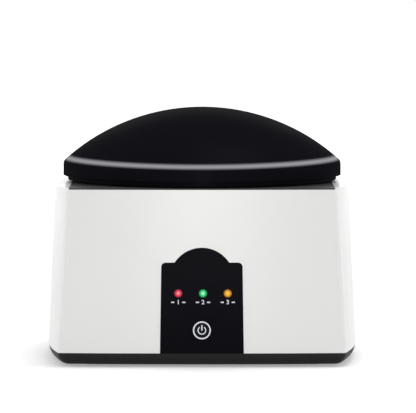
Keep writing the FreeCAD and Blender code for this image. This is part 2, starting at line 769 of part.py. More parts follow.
def fascia_outline(sketch, grow):
    """Fascia: nearly upright sides, rounded shoulders and an arch in the middle."""
    foot = d.panel_foot / 2 + grow
    side = d.panel_top / 2 + grow
    shoulder = d.panel_shoulder + grow
    low = d.parting_height - d.vent_width
    half = d.arch_half + grow
    bend = arc_radius(d.arch_half, d.arch_rise) + grow
    middle = shoulder + d.arch_rise - bend
    turn = math.degrees(math.atan2(number(shoulder - middle), number(half)))
    corner = d.panel_corner
    sketch.addGeometry(
        [
            Part.LineSegment(point(-foot, low), point(foot, low)),
            Part.LineSegment(point(foot, low), point(side, shoulder - corner)),
            arc(side - corner, shoulder - corner, corner, 0, 90),
            Part.LineSegment(point(side - corner, shoulder), point(half, shoulder)),
            arc(0, middle, bend, turn, 180 - turn),
            Part.LineSegment(point(-half, shoulder), point(corner - side, shoulder)),
            arc(corner - side, shoulder - corner, corner, 90, 180),
            Part.LineSegment(point(-side, shoulder - corner), point(-foot, low)),
        ],
        False,
    )
    rules = [join_rule(row, 2, (row + 1) % 8, 1) for row in range(8)]
    rules += point_rules(0, 1, -foot, low)
    rules += point_rules(0, 2, foot, low)
    rules += point_rules(4, 3, 0, middle)
    rules += [radius_rule(4, bend)]
    rules += point_rules(4, 1, None, shoulder)
    rules += point_rules(4, 2, None, shoulder)
    for row, x, upper, outer in ((2, side - corner, 2, 1), (6, corner - side, 1, 2)):
        rules += point_rules(row, 3, x, shoulder - corner)
        rules += point_rules(row, upper, x, None)
        rules += point_rules(row, outer, None, shoulder - corner)
        rules += [radius_rule(row, corner)]
    constrain(sketch, rules)


# Base screws: driven from below through the pan into the posts of the shell.
def build_base_screws():
    spots = corner_spots(post_x, post_y)
    length = d.parting_height + d.lip_height + d.screw_bite - pan_top
    screw_group("base_screws", spots, pan_top, length, d.screw_radius - TIGHT, d.screw_head)


# Deck plate: dark grey top, with the sunk ledge that carries the tray and the hinge ears.
def build_deck_plate():
    body = new_body("deck_plate")
    half = deck_half_width - d.fit_gap
    inside = foot_half_depth - d.face_lean - d.face_bow - d.shell_wall - d.fit_gap
    outer_edge = foot_half_depth - d.face_lean - d.face_bow - d.tongue_inset
    plate = sketch_on(body, "DeckPlate", lift=deck_under)
    rectangle(plate, -half, -inside, half, inside)
    pad(body, plate, d.deck_thickness)
    tongue = sketch_on(body, "DeckTongues", lift=d.body_height - d.tongue_thickness)
    bow = arc_radius(half, d.face_bow)
    middle = outer_edge + d.face_bow - bow
    turn = math.degrees(math.acos(number(half) / number(bow)))
    tongue.addGeometry(
        [
            Part.LineSegment(point(half, -outer_edge), point(half, outer_edge)),
            arc(0, middle, bow, turn, 180 - turn),
            Part.LineSegment(point(-half, outer_edge), point(-half, -outer_edge)),
            arc(0, -middle, bow, 180 + turn, 360 - turn),
        ],
        False,
    )
    rules = [join_rule(row, 2, (row + 1) % 4, 1) for row in range(4)]
    rules += point_rules(0, 1, half, -outer_edge) + point_rules(0, 2, half, outer_edge)
    rules += point_rules(2, 1, -half, outer_edge) + point_rules(2, 2, -half, -outer_edge)
    rules += [radius_rule(1, bow), radius_rule(3, bow)]
    constrain(tongue, rules)
    pad(body, tongue, d.tongue_thickness)
    well = sketch_on(body, "WellWall", lift=seat_under)
    circle(well, 0, 0, well_outside)
    pad(body, well, d.body_height - seat_under)
    recess = sketch_on(body, "TrayRecess", lift=d.body_height)
    circle(recess, 0, 0, well_radius)
    pocket(body, recess, d.seat_drop)
    mouth = sketch_on(body, "ChamberMouth", lift=seat_top)
    circle(mouth, 0, 0, chamber_radius + d.slip_gap)
    pocket(body, mouth, CUT_THROUGH)
    holes = sketch_on(body, "DeckScrewHoles", lift=deck_under)
    for x, y in deck_screw_spots():
        circle(holes, x, y, d.small_screw_radius)
    pocket(body, holes, d.head_height, forward=True)
    seat_holes = sketch_on(body, "SeatScrewHoles", lift=seat_under)
    for x, y in chamber_screw_spots():
        circle(seat_holes, x, y, d.small_screw_radius)
    pocket(body, seat_holes, d.seat_thickness, forward=True)
    ears = sketch_on(body, "HingeEars", "YZ_Plane", -ear_outside)
    root_height = d.body_height - d.tongue_thickness / 2
    rectangle(ears, pin_back - d.ear_radius, root_height, pin_back + d.ear_radius, pin_height)
    pad(body, ears, ear_outside * 2)
    tops = sketch_on(body, "EarTops", "YZ_Plane", -ear_outside)
    circle(tops, pin_back, pin_height, d.ear_radius)
    pad(body, tops, ear_outside * 2)
    between = sketch_on(body, "BetweenEars", "XZ_Plane", -pin_back - d.ear_radius)
    rectangle(between, -d.ear_inside, d.body_height, d.ear_inside, pin_height + d.ear_radius)
    pocket(body, between, d.ear_radius * 2, forward=True)
    bore = sketch_on(body, "PinBore", "YZ_Plane", ear_outside)
    circle(bore, pin_back, pin_height, d.pin_radius + d.pin_clearance)
    pocket(body, bore, ear_outside * 2)
    keep(body, "deck_plate")


def chamber_screw_spots():
    """Four screws on the diagonals of the chamber flange."""
    across = (tray_radius - d.chamber_screw_inset) / math.sqrt(2)
    return corner_spots(across, across)


def deck_screw_spots():
    """Four screws outside the tray, near the corners of the deck plate."""
    return corner_spots(deck_half_width - d.deck_screw_side, foot_half_depth - d.deck_screw_end)


def build_deck_screws():
    spots = deck_screw_spots()
    length = d.web_wall + d.head_height - d.screw_end
    radius = d.small_screw_radius - TIGHT
    screw_group("deck_screws", spots, web_under, length, radius, d.small_head)


# Hinge pin: steel, fixed in the ears of the deck.
def build_hinge_pin():
    start = -ear_outside
    pin = cylinder(
        "hinge_pin", d.pin_radius, ear_outside * 2, start, pin_back, pin_height, Y, SIDEWAYS
    )
    keep(pin, "hinge_pin")


# Steam chamber: round pot hung under the ledge, with the heater in its floor.
def build_steam_chamber():
    inside = chamber_radius
    outside = inside + d.chamber_wall
    hole = d.plate_boss + d.slip_gap
    flange = seat_under - d.chamber_wall
    body = turned_piece(
        "steam_chamber",
        [
            (hole, chamber_under),
            (outside, chamber_under),
            (outside, flange),
            (well_outside, flange),
            (well_outside, seat_under),
            (inside, seat_under),
            (inside, d.chamber_floor),
            (hole, d.chamber_floor),
        ],
    )
    posts = sketch_on(body, "ClampPosts", lift=heater_under)
    for side in (clamp_spot, -clamp_spot):
        circle(posts, side, 0, d.clamp_post)
    pad(body, posts, chamber_under - heater_under)
    bores = sketch_on(body, "ClampBores", lift=heater_under)
    for side in (clamp_spot, -clamp_spot):
        circle(bores, side, 0, d.small_screw_radius)
    pocket(body, bores, d.boss_drop, forward=True)
    holes = sketch_on(body, "FlangeHoles", lift=seat_under)
    for x, y in chamber_screw_spots():
        circle(holes, x, y, d.small_screw_radius + d.fit_gap)
    pocket(body, holes, d.chamber_wall)
    keep(body, "steam_chamber")


def build_chamber_screws():
    seat = seat_under - d.chamber_wall
    length = d.chamber_wall + d.seat_thickness - d.screw_end
    radius = d.small_screw_radius - TIGHT
    screw_group("chamber_screws", chamber_screw_spots(), seat, length, radius, d.small_head)


# Heater plate: turned aluminium, its boss reaching down through the chamber floor.
def build_heater():
    plate = turned_piece(
        "heater_plate",
        [
            (ZERO, boss_under),
            (d.plate_boss, boss_under),
            (d.plate_boss, plate_under),
            (d.plate_radius, plate_under),
            (d.plate_radius, plate_top),
            (ZERO, plate_top),
        ],
    )
    keep(plate, "heater_plate")
    gasket = turned_piece(
        "plate_gasket",
        [
            (d.plate_boss + d.slip_gap, d.chamber_floor),
            (d.plate_radius, d.chamber_floor),
            (d.plate_radius, plate_under),
            (d.plate_boss + d.slip_gap, plate_under),
        ],
    )
    keep(gasket, "plate_gasket")
    half_long = d.heater_long / 2
    half_wide = d.heater_wide / 2
    element = box(
        "ptc_heater", (-half_long, -half_wide, heater_under), (half_long, half_wide, boss_under)
    )
    keep(element, "ptc_heater")
    bar = box(
        "ClampBar",
        (-d.clamp_long / 2, -d.clamp_wide / 2, clamp_under),
        (d.clamp_long / 2, d.clamp_wide / 2, heater_under),
    )
    hole = d.small_screw_radius + d.fit_gap
    holes = [
        cylinder("ClampHole%d" % row, hole, d.clamp_thick, x, 0, clamp_under)
        for row, x in enumerate((clamp_spot, -clamp_spot))
    ]
    keep(cut("heater_clamp", bar, fused("ClampHoles", *holes)), "heater_clamp")
    spots = [(clamp_spot, 0), (-clamp_spot, 0)]
    length = d.clamp_thick + d.boss_drop - d.screw_end
    radius = d.small_screw_radius - TIGHT
    screw_group("clamp_screws", spots, clamp_under, length, radius, d.small_head)
    low = boss_under - d.thermostat_height
    spot = d.thermostat_spot
    disc = cylinder("thermostat", d.thermostat_radius, d.thermostat_height, 0, spot, low)
    keep(disc, "thermostat")
    start = -d.fuse_length / 2
    fuse_height = boss_under - d.fuse_radius
    fuse = cylinder(
        "thermal_fuse", d.fuse_radius, d.fuse_length, start, -spot, fuse_height, Y, SIDEWAYS
    )
    keep(fuse, "thermal_fuse")


# Heat shield: folded sheet on four posts of the pan, between heater and boards.
def build_heat_shield():
    half = d.shield_side / 2
    top = d.shield_height + d.shield_thickness
    plate = box("ShieldPlate", (-half, -half, d.shield_height), (half, half, top))
    keep(plate, "heat_shield")
    nuts = []
    for row, (x, y) in enumerate(corner_spots(d.shield_spot, d.shield_spot)):
        nuts.append(cylinder("ShieldClip%d" % row, d.shield_clip, d.head_height, x, y, top))
    keep(group("shield_clips", *nuts), "shield_clips")


# Reservoir cup: drawn aluminium cup for the remover, standing on the heater plate.
def build_reservoir_cup():
    low = plate_top + d.seat_gap
    high = low + d.cup_height
    inside = d.cup_radius - d.cup_wall
    cup = turned_piece(
        "reservoir_cup",
        [
            (ZERO, low),
            (d.cup_radius, low),
            (d.cup_radius, high - d.cup_wall),
            (d.cup_radius + d.cup_flange, high - d.cup_wall),
            (d.cup_radius + d.cup_flange, high),
            (inside, high),
            (inside, low + d.cup_wall),
            (ZERO, low + d.cup_wall),
        ],
    )
    keep(cup, "reservoir_cup")


def port_angles():
    """The five fingers, by name, turned from the middle finger at the back."""
    return [
        ("middle", ZERO),
        ("inner_left", d.inner_port_angle),
        ("inner_right", -d.inner_port_angle),
        ("outer_left", d.outer_port_angle),
        ("outer_right", -d.outer_port_angle),
    ]


def cut_ports(body, lift, depth):
    for finger, angle in port_angles():
        sketch = sketch_on(body, body.Name + "_port_" + finger, lift=lift, turn=angle)
        slot(sketch, port_pitch, port_width, port_length)
        pocket(body, sketch, depth)


# Finger tray: round moulded tray with five ports, a raised rim and a hole for the cap.
def build_finger_tray():
    rim_inside = tray_radius - d.tray_rim
    tray = turned_piece(
        "finger_tray",
        [
            (d.cap_hole, tray_under),
            (tray_radius, tray_under),
            (tray_radius, tray_top + d.tray_rim_rise),
            (rim_inside, tray_top + d.tray_rim_rise),
            (rim_inside, tray_top),
            (d.cap_hole, tray_top),
        ],
    )
    cut_ports(tray, tray_top, d.tray_plate)
    keep(tray, "finger_tray")
    plate = turned_piece(
        "tray_underplate",
        [
            (d.cap_hole, underplate_under),
            (chamber_radius - d.slip_gap, underplate_under),
            (chamber_radius - d.slip_gap, seal_under),
            (d.cap_hole, seal_under),
        ],
    )
    cut_ports(plate, seal_under, d.underplate)
    keep(plate, "tray_underplate")
    tray_holes = sketch_on(tray, "TrayScrewHoles", lift=tray_under)
    plate_holes = sketch_on(plate, "PlateScrewHoles", lift=seal_under)
    for x, y in tray_screw_spots():
        circle(tray_holes, x, y, d.small_screw_radius)
        circle(plate_holes, x, y, d.small_screw_radius + d.fit_gap)
    pocket(tray, tray_holes, d.tray_plate - d.screw_end, forward=True)
    pocket(plate, plate_holes, d.underplate)
    length = d.underplate + d.seal_thickness + d.tray_plate - d.screw_end * 2
    radius = d.small_screw_radius - TIGHT
    screw_group("tray_screws", tray_screw_spots(), underplate_under, length, radius, d.small_head)


def polar(radius, angle):
    """Spot at a radius, turned from the back towards the left hand side."""
    turn = math.radians(number(angle))
    sine = Size("sin(%s)" % formula_of(angle), math.sin(turn))
    cosine = Size("cos(%s)" % formula_of(angle), math.cos(turn))
    return (-(radius * sine), radius * cosine)


def tray_screw_spots():
    """Between the ports on both sides, and two in the plain sector at the front."""
    between = (d.inner_port_angle + d.outer_port_angle) / 2
    outer = chamber_radius - d.slip_gap - d.small_head * 2
    inner = d.cap_hole + d.small_head * 2
    sides = [polar(outer, between), polar(outer, -between)]
    return sides + [polar(outer, TO_FRONT), polar(inner, TO_FRONT)]


# Finger seals: silicone discs with petals, clamped round each port.
def build_finger_seals():
    lap = d.seal_lap * 2
    half = d.slit_width / 2
    reach = port_width / 2 - d.slit_end
    long_reach = port_length / 2 - d.slit_end
    for finger, angle in port_angles():
        node = "finger_seal_" + finger
        body = new_body(node)
        outline = sketch_on(body, node + "_outline", lift=seal_under)
        slot(outline, port_pitch, port_width + lap, port_length + lap)
        pad(body, outline, d.seal_thickness)
        mouth = sketch_on(body, node + "_mouth", lift=tray_under)
        circle(mouth, 0, port_pitch, d.seal_mouth)
        pocket(body, mouth, d.seal_thickness)
        cross = sketch_on(body, node + "_cross", lift=tray_under)
        rectangle(cross, -reach, port_pitch - half, reach, port_pitch + half)
        pocket(body, cross, d.seal_thickness)
        along = sketch_on(body, node + "_along", lift=tray_under)
        rectangle(along, -half, port_pitch - long_reach, half, port_pitch + long_reach)
        pocket(body, along, d.seal_thickness)
        body.Placement = FreeCAD.Placement(ORIGIN, FreeCAD.Rotation(Z, number(angle)))
        if number(angle):
            bind(body, "Placement.Rotation.Angle", angle)
        keep(body, node)


# Centre cap: glossy knob over the middle of the tray, with a skirt that locates it.
def build_centre_cap():
    low = tray_top + d.seat_gap
    edge = low + d.cap_edge
    top = tray_top + d.cap_rise
    outside = arc_radius(d.cap_radius, top - edge)
    skirt = d.cap_hole - d.slip_gap
    under = low - d.cap_skirt
    body = new_body("centre_cap")
    sketch = sketch_on(body, "CapProfile", "XZ_Plane")
    inner_top = top - d.cap_wall
    inside = skirt - d.cap_wall
    inner_radius = outside - d.cap_wall
    centre = top - outside
    inner_edge = centre + root(inner_radius * inner_radius - inside * inside)
    turn = math.degrees(math.acos(number(d.cap_radius) / number(outside)))
    inner_turn = math.degrees(math.acos(number(inside) / number(inner_radius)))
    corners = [(inside, inner_edge), (inside, under), (skirt, under), (skirt, low)]
    corners += [(d.cap_radius, low), (d.cap_radius, edge)]
    ends = [point(x, y) for x, y in corners]
    lines = [Part.LineSegment(first, second) for first, second in zip(ends, ends[1:])]
    last = len(lines) + 2
    middle = Part.LineSegment(point(0, top), point(0, inner_top))
    inner_arc = arc(0, centre, inner_radius, inner_turn, 90)
    sketch.addGeometry([middle, inner_arc] + lines + [arc(0, centre, outside, turn, 90)], False)
    rules = [join_rule(0, 2, 1, 2), join_rule(1, 1, 2, 1), join_rule(last, 2, 0, 1)]
    rules += [join_rule(row, 2, row + 1, 1) for row in range(2, last)]
    for row, (x, y) in enumerate(corners[1:], start=2):
        rules += point_rules(row, 2, x, y)
    rules += point_rules(1, 1, inside, None) + point_rules(1, 2, 0, None)
    rules += point_rules(1, 3, 0, centre) + [radius_rule(1, inner_radius)]
    rules += point_rules(last, 3, 0, centre) + point_rules(last, 2, 0, None)
    constrain(sketch, rules)
    turned(body, sketch)
    keep(body, "centre_cap")


def domed_wall(body, sphere, skirt, low, wall):
    """Turned wall: part of a sphere over a straight skirt, open below."""
    centre = d.overall_height - dome_radius
    sketch = sketch_on(body, body.Name + "Profile", "XZ_Plane")
    inner = sphere - wall
    inner_skirt = skirt - wall
    rows = []
    for radius, reach in ((sphere, skirt), (inner, inner_skirt)):
        turn = math.degrees(math.acos(number(reach) / number(radius)))
        rows.append((radius, reach, turn, centre + root(radius * radius - reach * reach)))
    (_, _, turn, high), (_, _, inner_turn, inner_high) = rows
    sketch.addGeometry(
        [
            arc(0, centre, sphere, turn, 90),
            Part.LineSegment(point(0, centre + sphere), point(0, centre + inner)),
            arc(0, centre, inner, inner_turn, 90),
            Part.LineSegment(point(inner_skirt, inner_high), point(inner_skirt, low)),
            Part.LineSegment(point(inner_skirt, low), point(skirt, low)),
            Part.LineSegment(point(skirt, low), point(skirt, high)),
        ],
        False,
    )
    rules = [
        join_rule(0, 2, 1, 1),
        join_rule(1, 2, 2, 2),
        join_rule(2, 1, 3, 1),
        join_rule(3, 2, 4, 1),
        join_rule(4, 2, 5, 1),
        join_rule(5, 2, 0, 1),
    ]
    for row in (0, 2):
        rules += point_rules(row, 3, 0, centre)
        rules += point_rules(row, 2, 0, None)
    rules += [radius_rule(0, sphere), radius_rule(2, inner)]
    rules += point_rules(0, 1, skirt, None) + point_rules(2, 1, inner_skirt, None)
    rules += point_rules(3, 2, inner_skirt, low) + point_rules(4, 2, skirt, low)
    constrain(sketch, rules)
    turned(body, sketch)


# Lid shell: glossy black dome over a straight skirt, notched behind for the hinge.
def build_lid_shell():
    body = new_body("lid_shell")
    domed_wall(body, dome_radius, lid_radius, d.body_height + d.lid_lift, d.lid_wall)

    def is_shoulder(edge):
        above_skirt_edge = edge.BoundBox.ZMin > number(d.body_height + d.lid_lift + d.lid_wall)
        outermost = edge.BoundBox.XMax > number(lid_radius - d.fit_gap)
        return above_skirt_edge and outermost

    round_edges(body, "LidShoulder", d.lid_shoulder, is_shoulder)
    hinge_notch(body)
    keep(body, "lid_shell")


def hinge_notch(body):
    """Take away what would meet the hinge ears, behind and below."""
    half = ear_outside + d.hinge_gap
    front = pin_back - d.ear_radius - d.hinge_gap
    top = pin_height + d.ear_radius + d.hinge_gap
    sketch = sketch_on(body, body.Name + "Notch", lift=top)
    rectangle(sketch, -half, front, half, d.overall_depth / 2)
    pocket(body, sketch, top - d.body_height)


# Lid liner: inner dome whose rim shows below the skirt, and the hinge knuckle.
def build_lid_liner():
    body = new_body("lid_liner")
    sphere = dome_radius - d.lid_wall - d.liner_space
    rim = lid_radius - d.lid_wall - d.fit_gap
    domed_wall(body, sphere, rim, d.body_height + d.liner_lift, d.liner_wall)
    hinge_notch(body)
    half = d.ear_inside - d.hinge_gap
    web_front = pin_back - d.web_depth
    web = sketch_on(body, "KnuckleWeb", "YZ_Plane", -half)
    high = pin_height + d.ear_radius + d.hinge_gap + d.liner_wall / 2
    web_back = pin_back - d.knuckle_radius / 2
    rectangle(web, web_front, pin_height - d.pin_radius, web_back, high)
    pad(body, web, half * 2)
    knuckle = sketch_on(body, "Knuckle", "YZ_Plane", -half)
    circle(knuckle, pin_back, pin_height, d.knuckle_radius)
    pad(body, knuckle, half * 2)
    bore = sketch_on(body, "KnuckleBore", "YZ_Plane", half)
    circle(bore, pin_back, pin_height, d.pin_radius + d.pin_clearance)
    pocket(body, bore, half * 2)
    keep(body, "lid_liner")
    build_lid_seal(rim - d.liner_wall)


# Lid seal: silicone ring inside the rim of the liner, just above the deck.
def build_lid_seal(outside):
    low = d.body_height + d.seal_lift
    edge = outside - d.fit_gap / 2
    body = turned_piece(
        "lid_seal",
        [
            (edge - d.seal_width, low),
            (edge, low),
            (edge, low + d.seal_height),
            (edge - d.seal_width, low + d.seal_height),
        ],
    )
    half = ear_outside + d.hinge_gap * 2
    sketch = sketch_on(body, "SealNotch", lift=low + d.seal_height)
    front = pin_back - d.web_depth - d.hinge_gap
    rectangle(sketch, -half, front, half, d.overall_depth / 2)
    pocket(body, sketch, d.seal_height)
    keep(body, "lid_seal")


def fascia_prism(name, grow):
    body = new_body(name)
    sketch = sketch_on(body, name + "Outline", "XZ_Plane", board_face)
    fascia_outline(sketch, grow)
    pad(body, sketch, d.overall_depth / 2)
    return body


# Fascia: black moulding that fills the window of the shell, held by a flange behind it.
def build_control_panel():
    back = d.shell_wall + d.fit_gap / 2
    front_prism = fascia_prism("FasciaPrism", ZERO)
    front_part = common("FasciaFront", front_prism, skin("FasciaSkin", -d.panel_proud, back))
    flange_block = common(
        "FasciaFlangeBlock",
        fascia_prism("FlangePrism", d.panel_flange),
        skin("FlangeSkin", back, back + d.flange_thick),
    )
    clear = box(
        "FlangeClear",
        (-foot_half_width, -foot_half_depth, ZERO),
        (foot_half_width, ZERO, d.parting_height + d.lip_height + d.slip_gap),
    )
    inner_prism = fascia_prism("FlangeInnerPrism", -d.panel_flange)
    flange = cut("FasciaFlange", flange_block, fused("FlangeTools", clear, inner_prism))
    posts = []
    for row, (x, z) in enumerate(board_post_spots()):
        post = forward_rod("FasciaPost%d" % row, d.board_post, x, z, board_face)
        inside = hull("PostHull%d" % row, back - d.flange_thick / 2)
        posts.append(common("FasciaPostEnd%d" % row, post, inside))
    tools = [
        forward_rod("LensHole%d" % row, d.lens_radius + d.fit_gap / 2, x, d.lamp_height)
        for row, x in enumerate(lamp_spots())
    ]
    button_hole = d.button_radius + d.button_gap
    tools.append(forward_rod("ButtonHole", button_hole, 0, d.button_height))
    solid = fused("FasciaSolid", front_part, flange, *posts)
    keep(cut("control_panel", solid, fused("FasciaHoles", *tools)), "control_panel")


def forward_rod(name, radius, x, z, start=ZERO):
    """Long round rod that points to the front, from start in front of the middle."""
    return cylinder(name, radius, d.overall_depth, x, -start, z, X, FORWARD)


def lamp_spots():
    return [d.lamp_shift - d.lamp_pitch, d.lamp_shift, d.lamp_shift + d.lamp_pitch]


def board_post_spots():
    low = d.board_low + d.board_post + d.board_margin
    high = d.board_high - d.board_post - d.board_margin
    return [(x, z) for x in (d.board_post_spot, -d.board_post_spot) for z in (low, high)]


# Lamp lenses and diodes: red, green and amber, the diode standing on the control board.
def build_lamps():
    reach = d.shell_wall + d.flange_thick
    for colour, x in zip(("red", "green", "amber"), lamp_spots()):
        rod = forward_rod("LensRod_" + colour, d.lens_radius, x, d.lamp_height)
        front = -(d.panel_proud + d.lens_proud)
        lens = common("lens_" + colour, rod, skin("LensSkin_" + colour, front, reach))
        keep(lens, "lens_" + colour)
        gap = hull("DiodeHull_" + colour, reach + d.fit_gap)
        diode_rod = forward_rod("DiodeRod_" + colour, d.led_radius, x, d.lamp_height, board_face)
        keep(common("led_" + colour, diode_rod, gap), "led_" + colour)


# Power button: round cap with a collar behind the fascia and a stem to the switch.
def build_power_button():
    collar_front = d.shell_wall + d.fit_gap / 2 + d.fit_gap
    rod = forward_rod("ButtonRod", d.button_radius, 0, d.button_height)
    front = -(d.panel_proud + d.button_proud)
    cap = common("ButtonCap", rod, skin("ButtonSkin", front, collar_front))
    collar_back = collar_front + d.flange_thick / 2
    collar_radius = d.button_radius + d.button_flange
    collar_rod = forward_rod("CollarRod", collar_radius, 0, d.button_height)
    collar = common("ButtonCollar", collar_rod, skin("CollarSkin", collar_front, collar_back))
    switch_front = board_face + d.switch_deep
    stem_start = switch_front + d.button_travel + d.fit_gap
    stem_rod = forward_rod("StemRod", d.button_stem, 0, d.button_height, stem_start)
    stem = common("ButtonStem", stem_rod, hull("StemHull", collar_front))
    keep(fused("power_button", cap, collar, stem), "power_button")


# Push switch on the control board, with the plunger that the button pushes.
def build_switch():
    half = d.switch_side / 2
    front = board_face + d.switch_deep
    block = box(
        "SwitchBlock",
        (-half, -front, d.button_height - half),
        (half, -board_face, d.button_height + half),
    )
    depth = d.button_travel * 2 + d.fit_gap
    bore_radius = d.plunger_radius + d.pin_clearance * 2
    bore = cylinder(
        "SwitchBore", bore_radius, depth, 0, -front, d.button_height, X, BACKWARD
    )
    keep(cut("push_switch", block, bore), "push_switch")
    start = front - d.button_travel
    plunger = cylinder(
        "switch_plunger", d.plunger_radius, depth, 0, -start, d.button_height, X, FORWARD
    )
    keep(plunger, "switch_plunger")


# Control board: upright behind the fascia, on four posts.
def build_control_board():
    half = d.board_width / 2
    plate = box(
        "control_board",
        (-half, -board_face, d.board_low),
        (half, d.board_thick - board_face, d.board_high),
    )
    keep(plate, "control_board")
    heads = []
    for row, (x, z) in enumerate(board_post_spots()):
        back = d.board_thick - board_face
        heads.append(
            cylinder("BoardScrew%d" % row, d.small_head, d.head_height, x, back, z, X, BACKWARD)
        )
    keep(group("board_screws", *heads), "board_screws")
    controller = box(
        "controller_chip",
        (-d.switch_side, d.board_thick - board_face, d.lamp_height - d.switch_side),
        (d.switch_side, d.board_thick * 2 - board_face, d.lamp_height),
    )
    keep(controller, "controller_chip")


# Power board: flat on the pan behind the middle, with the parts that stand on it.
def build_power_board():
    plate = box(
        "power_board",
        (-d.power_board_half, d.power_board_front, d.power_board_height),
        (d.power_board_half, power_board_back, power_board_top),
    )
    keep(plate, "power_board")
    top = power_board_top
    lane = d.power_board_front + d.jack_length
    cans = [
        cylinder("Can%d" % row, d.jack_width / 2, d.jack_height, -d.switch_side * step, lane, top)
        for row, step in enumerate((1, 3))
    ]
    keep(group("capacitors", *cans), "capacitors")
    relay = box(
        "relay",
        (-d.switch_side * 3, lane + d.jack_width, top),
        (-d.switch_side, lane + d.jack_width * 3, top + d.jack_length),
    )
    keep(relay, "relay")
    buzzer = cylinder("buzzer", d.switch_side - 1, d.jack_width, 0, lane + d.jack_width * 3, top)
    keep(buzzer, "buzzer")
    block = box(
        "terminal_block",
        (d.jack_width, d.power_board_front + 1, top),
        (d.jack_width * 3, d.power_board_front + d.jack_width, top + d.jack_width),
    )
    keep(block, "terminal_block")


# Power socket: on the power board, its nose in a hole of the back wall. The bore is open.
def build_dc_socket():
    half = d.jack_width / 2
    middle = power_board_top + d.jack_height / 2
    back = power_board_back
    block = box(
        "JackBlock",
        (d.jack_spot - half, back - d.jack_length, power_board_top),
        (d.jack_spot + half, back, power_board_top + d.jack_height),
    )
    across = d.jack_spot
    nose_length = foot_half_depth - back
    nose = cylinder("JackNose", d.jack_nose, nose_length, across, back, middle, X, BACKWARD)
    nose_cut = common("JackNoseEnd", nose, hull("JackHull", d.slip_gap))
    start = back - d.jack_length / 2
    bore = cylinder("JackBore", d.jack_bore, d.overall_depth, across, start, middle, X, BACKWARD)
    pin_length = d.jack_length / 2 + d.jack_bore
    pin = cylinder("JackPin", d.jack_pin, pin_length, across, start, middle, X, BACKWARD)
    shell = cut("JackShell", fused("JackOuter", block, nose_cut), bore)
    keep(fused("dc_socket", shell, pin), "dc_socket")


def lead(name, route):
    """Round lead along straight runs joined by tangent arcs."""
    ends = [FreeCAD.Vector(*[number(value) for value in stop]) for stop in route]
    edges = []
    start = ends[0]
    for before, corner, after in zip(ends, ends[1:], ends[2:]):
        incoming = (corner - before).normalize()
        outgoing = (after - corner).normalize()
        half_turn = incoming.getAngle(outgoing) / 2
        shorter = min((corner - before).Length, (after - corner).Length)
        setback = BEND_SHARE * shorter
        leave = corner - incoming * setback
        arrive = corner + outgoing * setback
        inward = (outgoing - incoming).normalize()
        radius = setback / math.tan(half_turn)
        middle = corner + inward * (radius / math.cos(half_turn) - radius)
        edges.append(Part.LineSegment(start, leave).toShape())
        edges.append(Part.Arc(leave, middle, arrive).toShape())
        start = arrive
    edges.append(Part.LineSegment(start, ends[-1]).toShape())
    path = Part.Wire(edges)
    along = (ends[1] - ends[0]).normalize()
    ring = Part.Wire([Part.Circle(ends[0], along, number(d.lead_radius)).toShape()])
    obj = doc.addObject("Part::Feature", name)
    obj.Shape = path.makePipeShell([ring], True, True)
    obj.Placement = FreeCAD.Placement(ORIGIN, FreeCAD.Rotation())
    return obj


# Inner leads: pairs from the heater to the terminal block, and from board to board.
def build_leads():
    top = power_board_top + d.jack_width
    block_y = d.power_board_front + d.jack_width / 2
    heater_side = d.heater_long / 2
    pair = []
    block_side = d.jack_width * 3
    level = heater_under + d.heater_thick / 2
    for row, step in enumerate((-1, 1)):
        offset = d.lead_pitch / 2 * step
        start_y = offset - d.heater_wide / 3
        down_x = d.shield_side / 2 + d.switch_side + offset
        route = [
            (heater_side, start_y, level),
            (down_x, start_y, level),
            (down_x, d.clamp_wide, top + d.jack_length),
            (block_side + d.switch_side, block_y + offset, top - d.jack_width / 2),
            (block_side, block_y + offset, top - d.jack_width / 2),
        ]
        pair.append(lead("HeaterLead%d" % row, route))
    keep(group("heater_leads", *pair), "heater_leads")


# Panel leads: three wires from the control board, over the pan floor, to the power board.
def build_panel_leads():
    plug = d.switch_side / 2
    start = d.board_thick - board_face
    far = d.power_board_front + d.fit_gap
    upper = d.button_height + plug
    lower = power_board_top + plug / 2
    middle_x = -d.power_board_half / 2
    low_x = middle_x - plug
    high_x = middle_x + plug
    sockets = [
        box("PanelSocket", (low_x, start, upper - plug), (high_x, start + plug, upper + plug)),
        box("BoardSocket", (low_x, far, power_board_top), (high_x, far + plug, lower + plug)),
    ]
    keep(group("lead_sockets", *sockets), "lead_sockets")
    wires = []
    for row in (-1, 0, 1):
        x = middle_x + d.lead_pitch * row
        route = [
            (x, start + plug, upper),
            (x, -chamber_radius, upper),
            (x, -d.cup_radius, lower),
            (x, far, lower),
        ]
        wires.append(lead("PanelLead%d" % (row + 1), route))
    keep(group("panel_leads", *wires), "panel_leads")


build_base_pan()
build_rubber_feet()
build_body_shell()
build_base_screws()
build_deck_plate()
build_deck_screws()
build_hinge_pin()
build_steam_chamber()
build_chamber_screws()
build_heater()
build_heat_shield()
build_reservoir_cup()
build_finger_tray()
build_finger_seals()
build_centre_cap()
build_lid_shell()
build_lid_liner()
build_control_panel()
build_lamps()
build_power_button()
build_switch()
build_control_board()
build_power_board()
build_dc_socket()
build_leads()
build_panel_leads()
doc.recompute()

failed = [obj.Label for obj in doc.Objects if {"Invalid", "Error"} & set(obj.State)]
bad = [node for node, obj in pieces.items() if obj.Shape.isNull() or not obj.Shape.isValid()]
if failed or bad:
    raise RuntimeError("failed: %s, bad shapes: %s" % (failed, bad))

os.makedirs("parts", exist_ok=True)
for node, obj in pieces.items():
    obj.Shape.exportStep("parts/%s.step" % node)
    print(node, len(obj.Shape.Solids), round(obj.Shape.Volume, 1))
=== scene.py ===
import json
import math

import bmesh
import bpy
from mathutils import Matrix, Vector
from mathutils.bvhtree import BVHTree


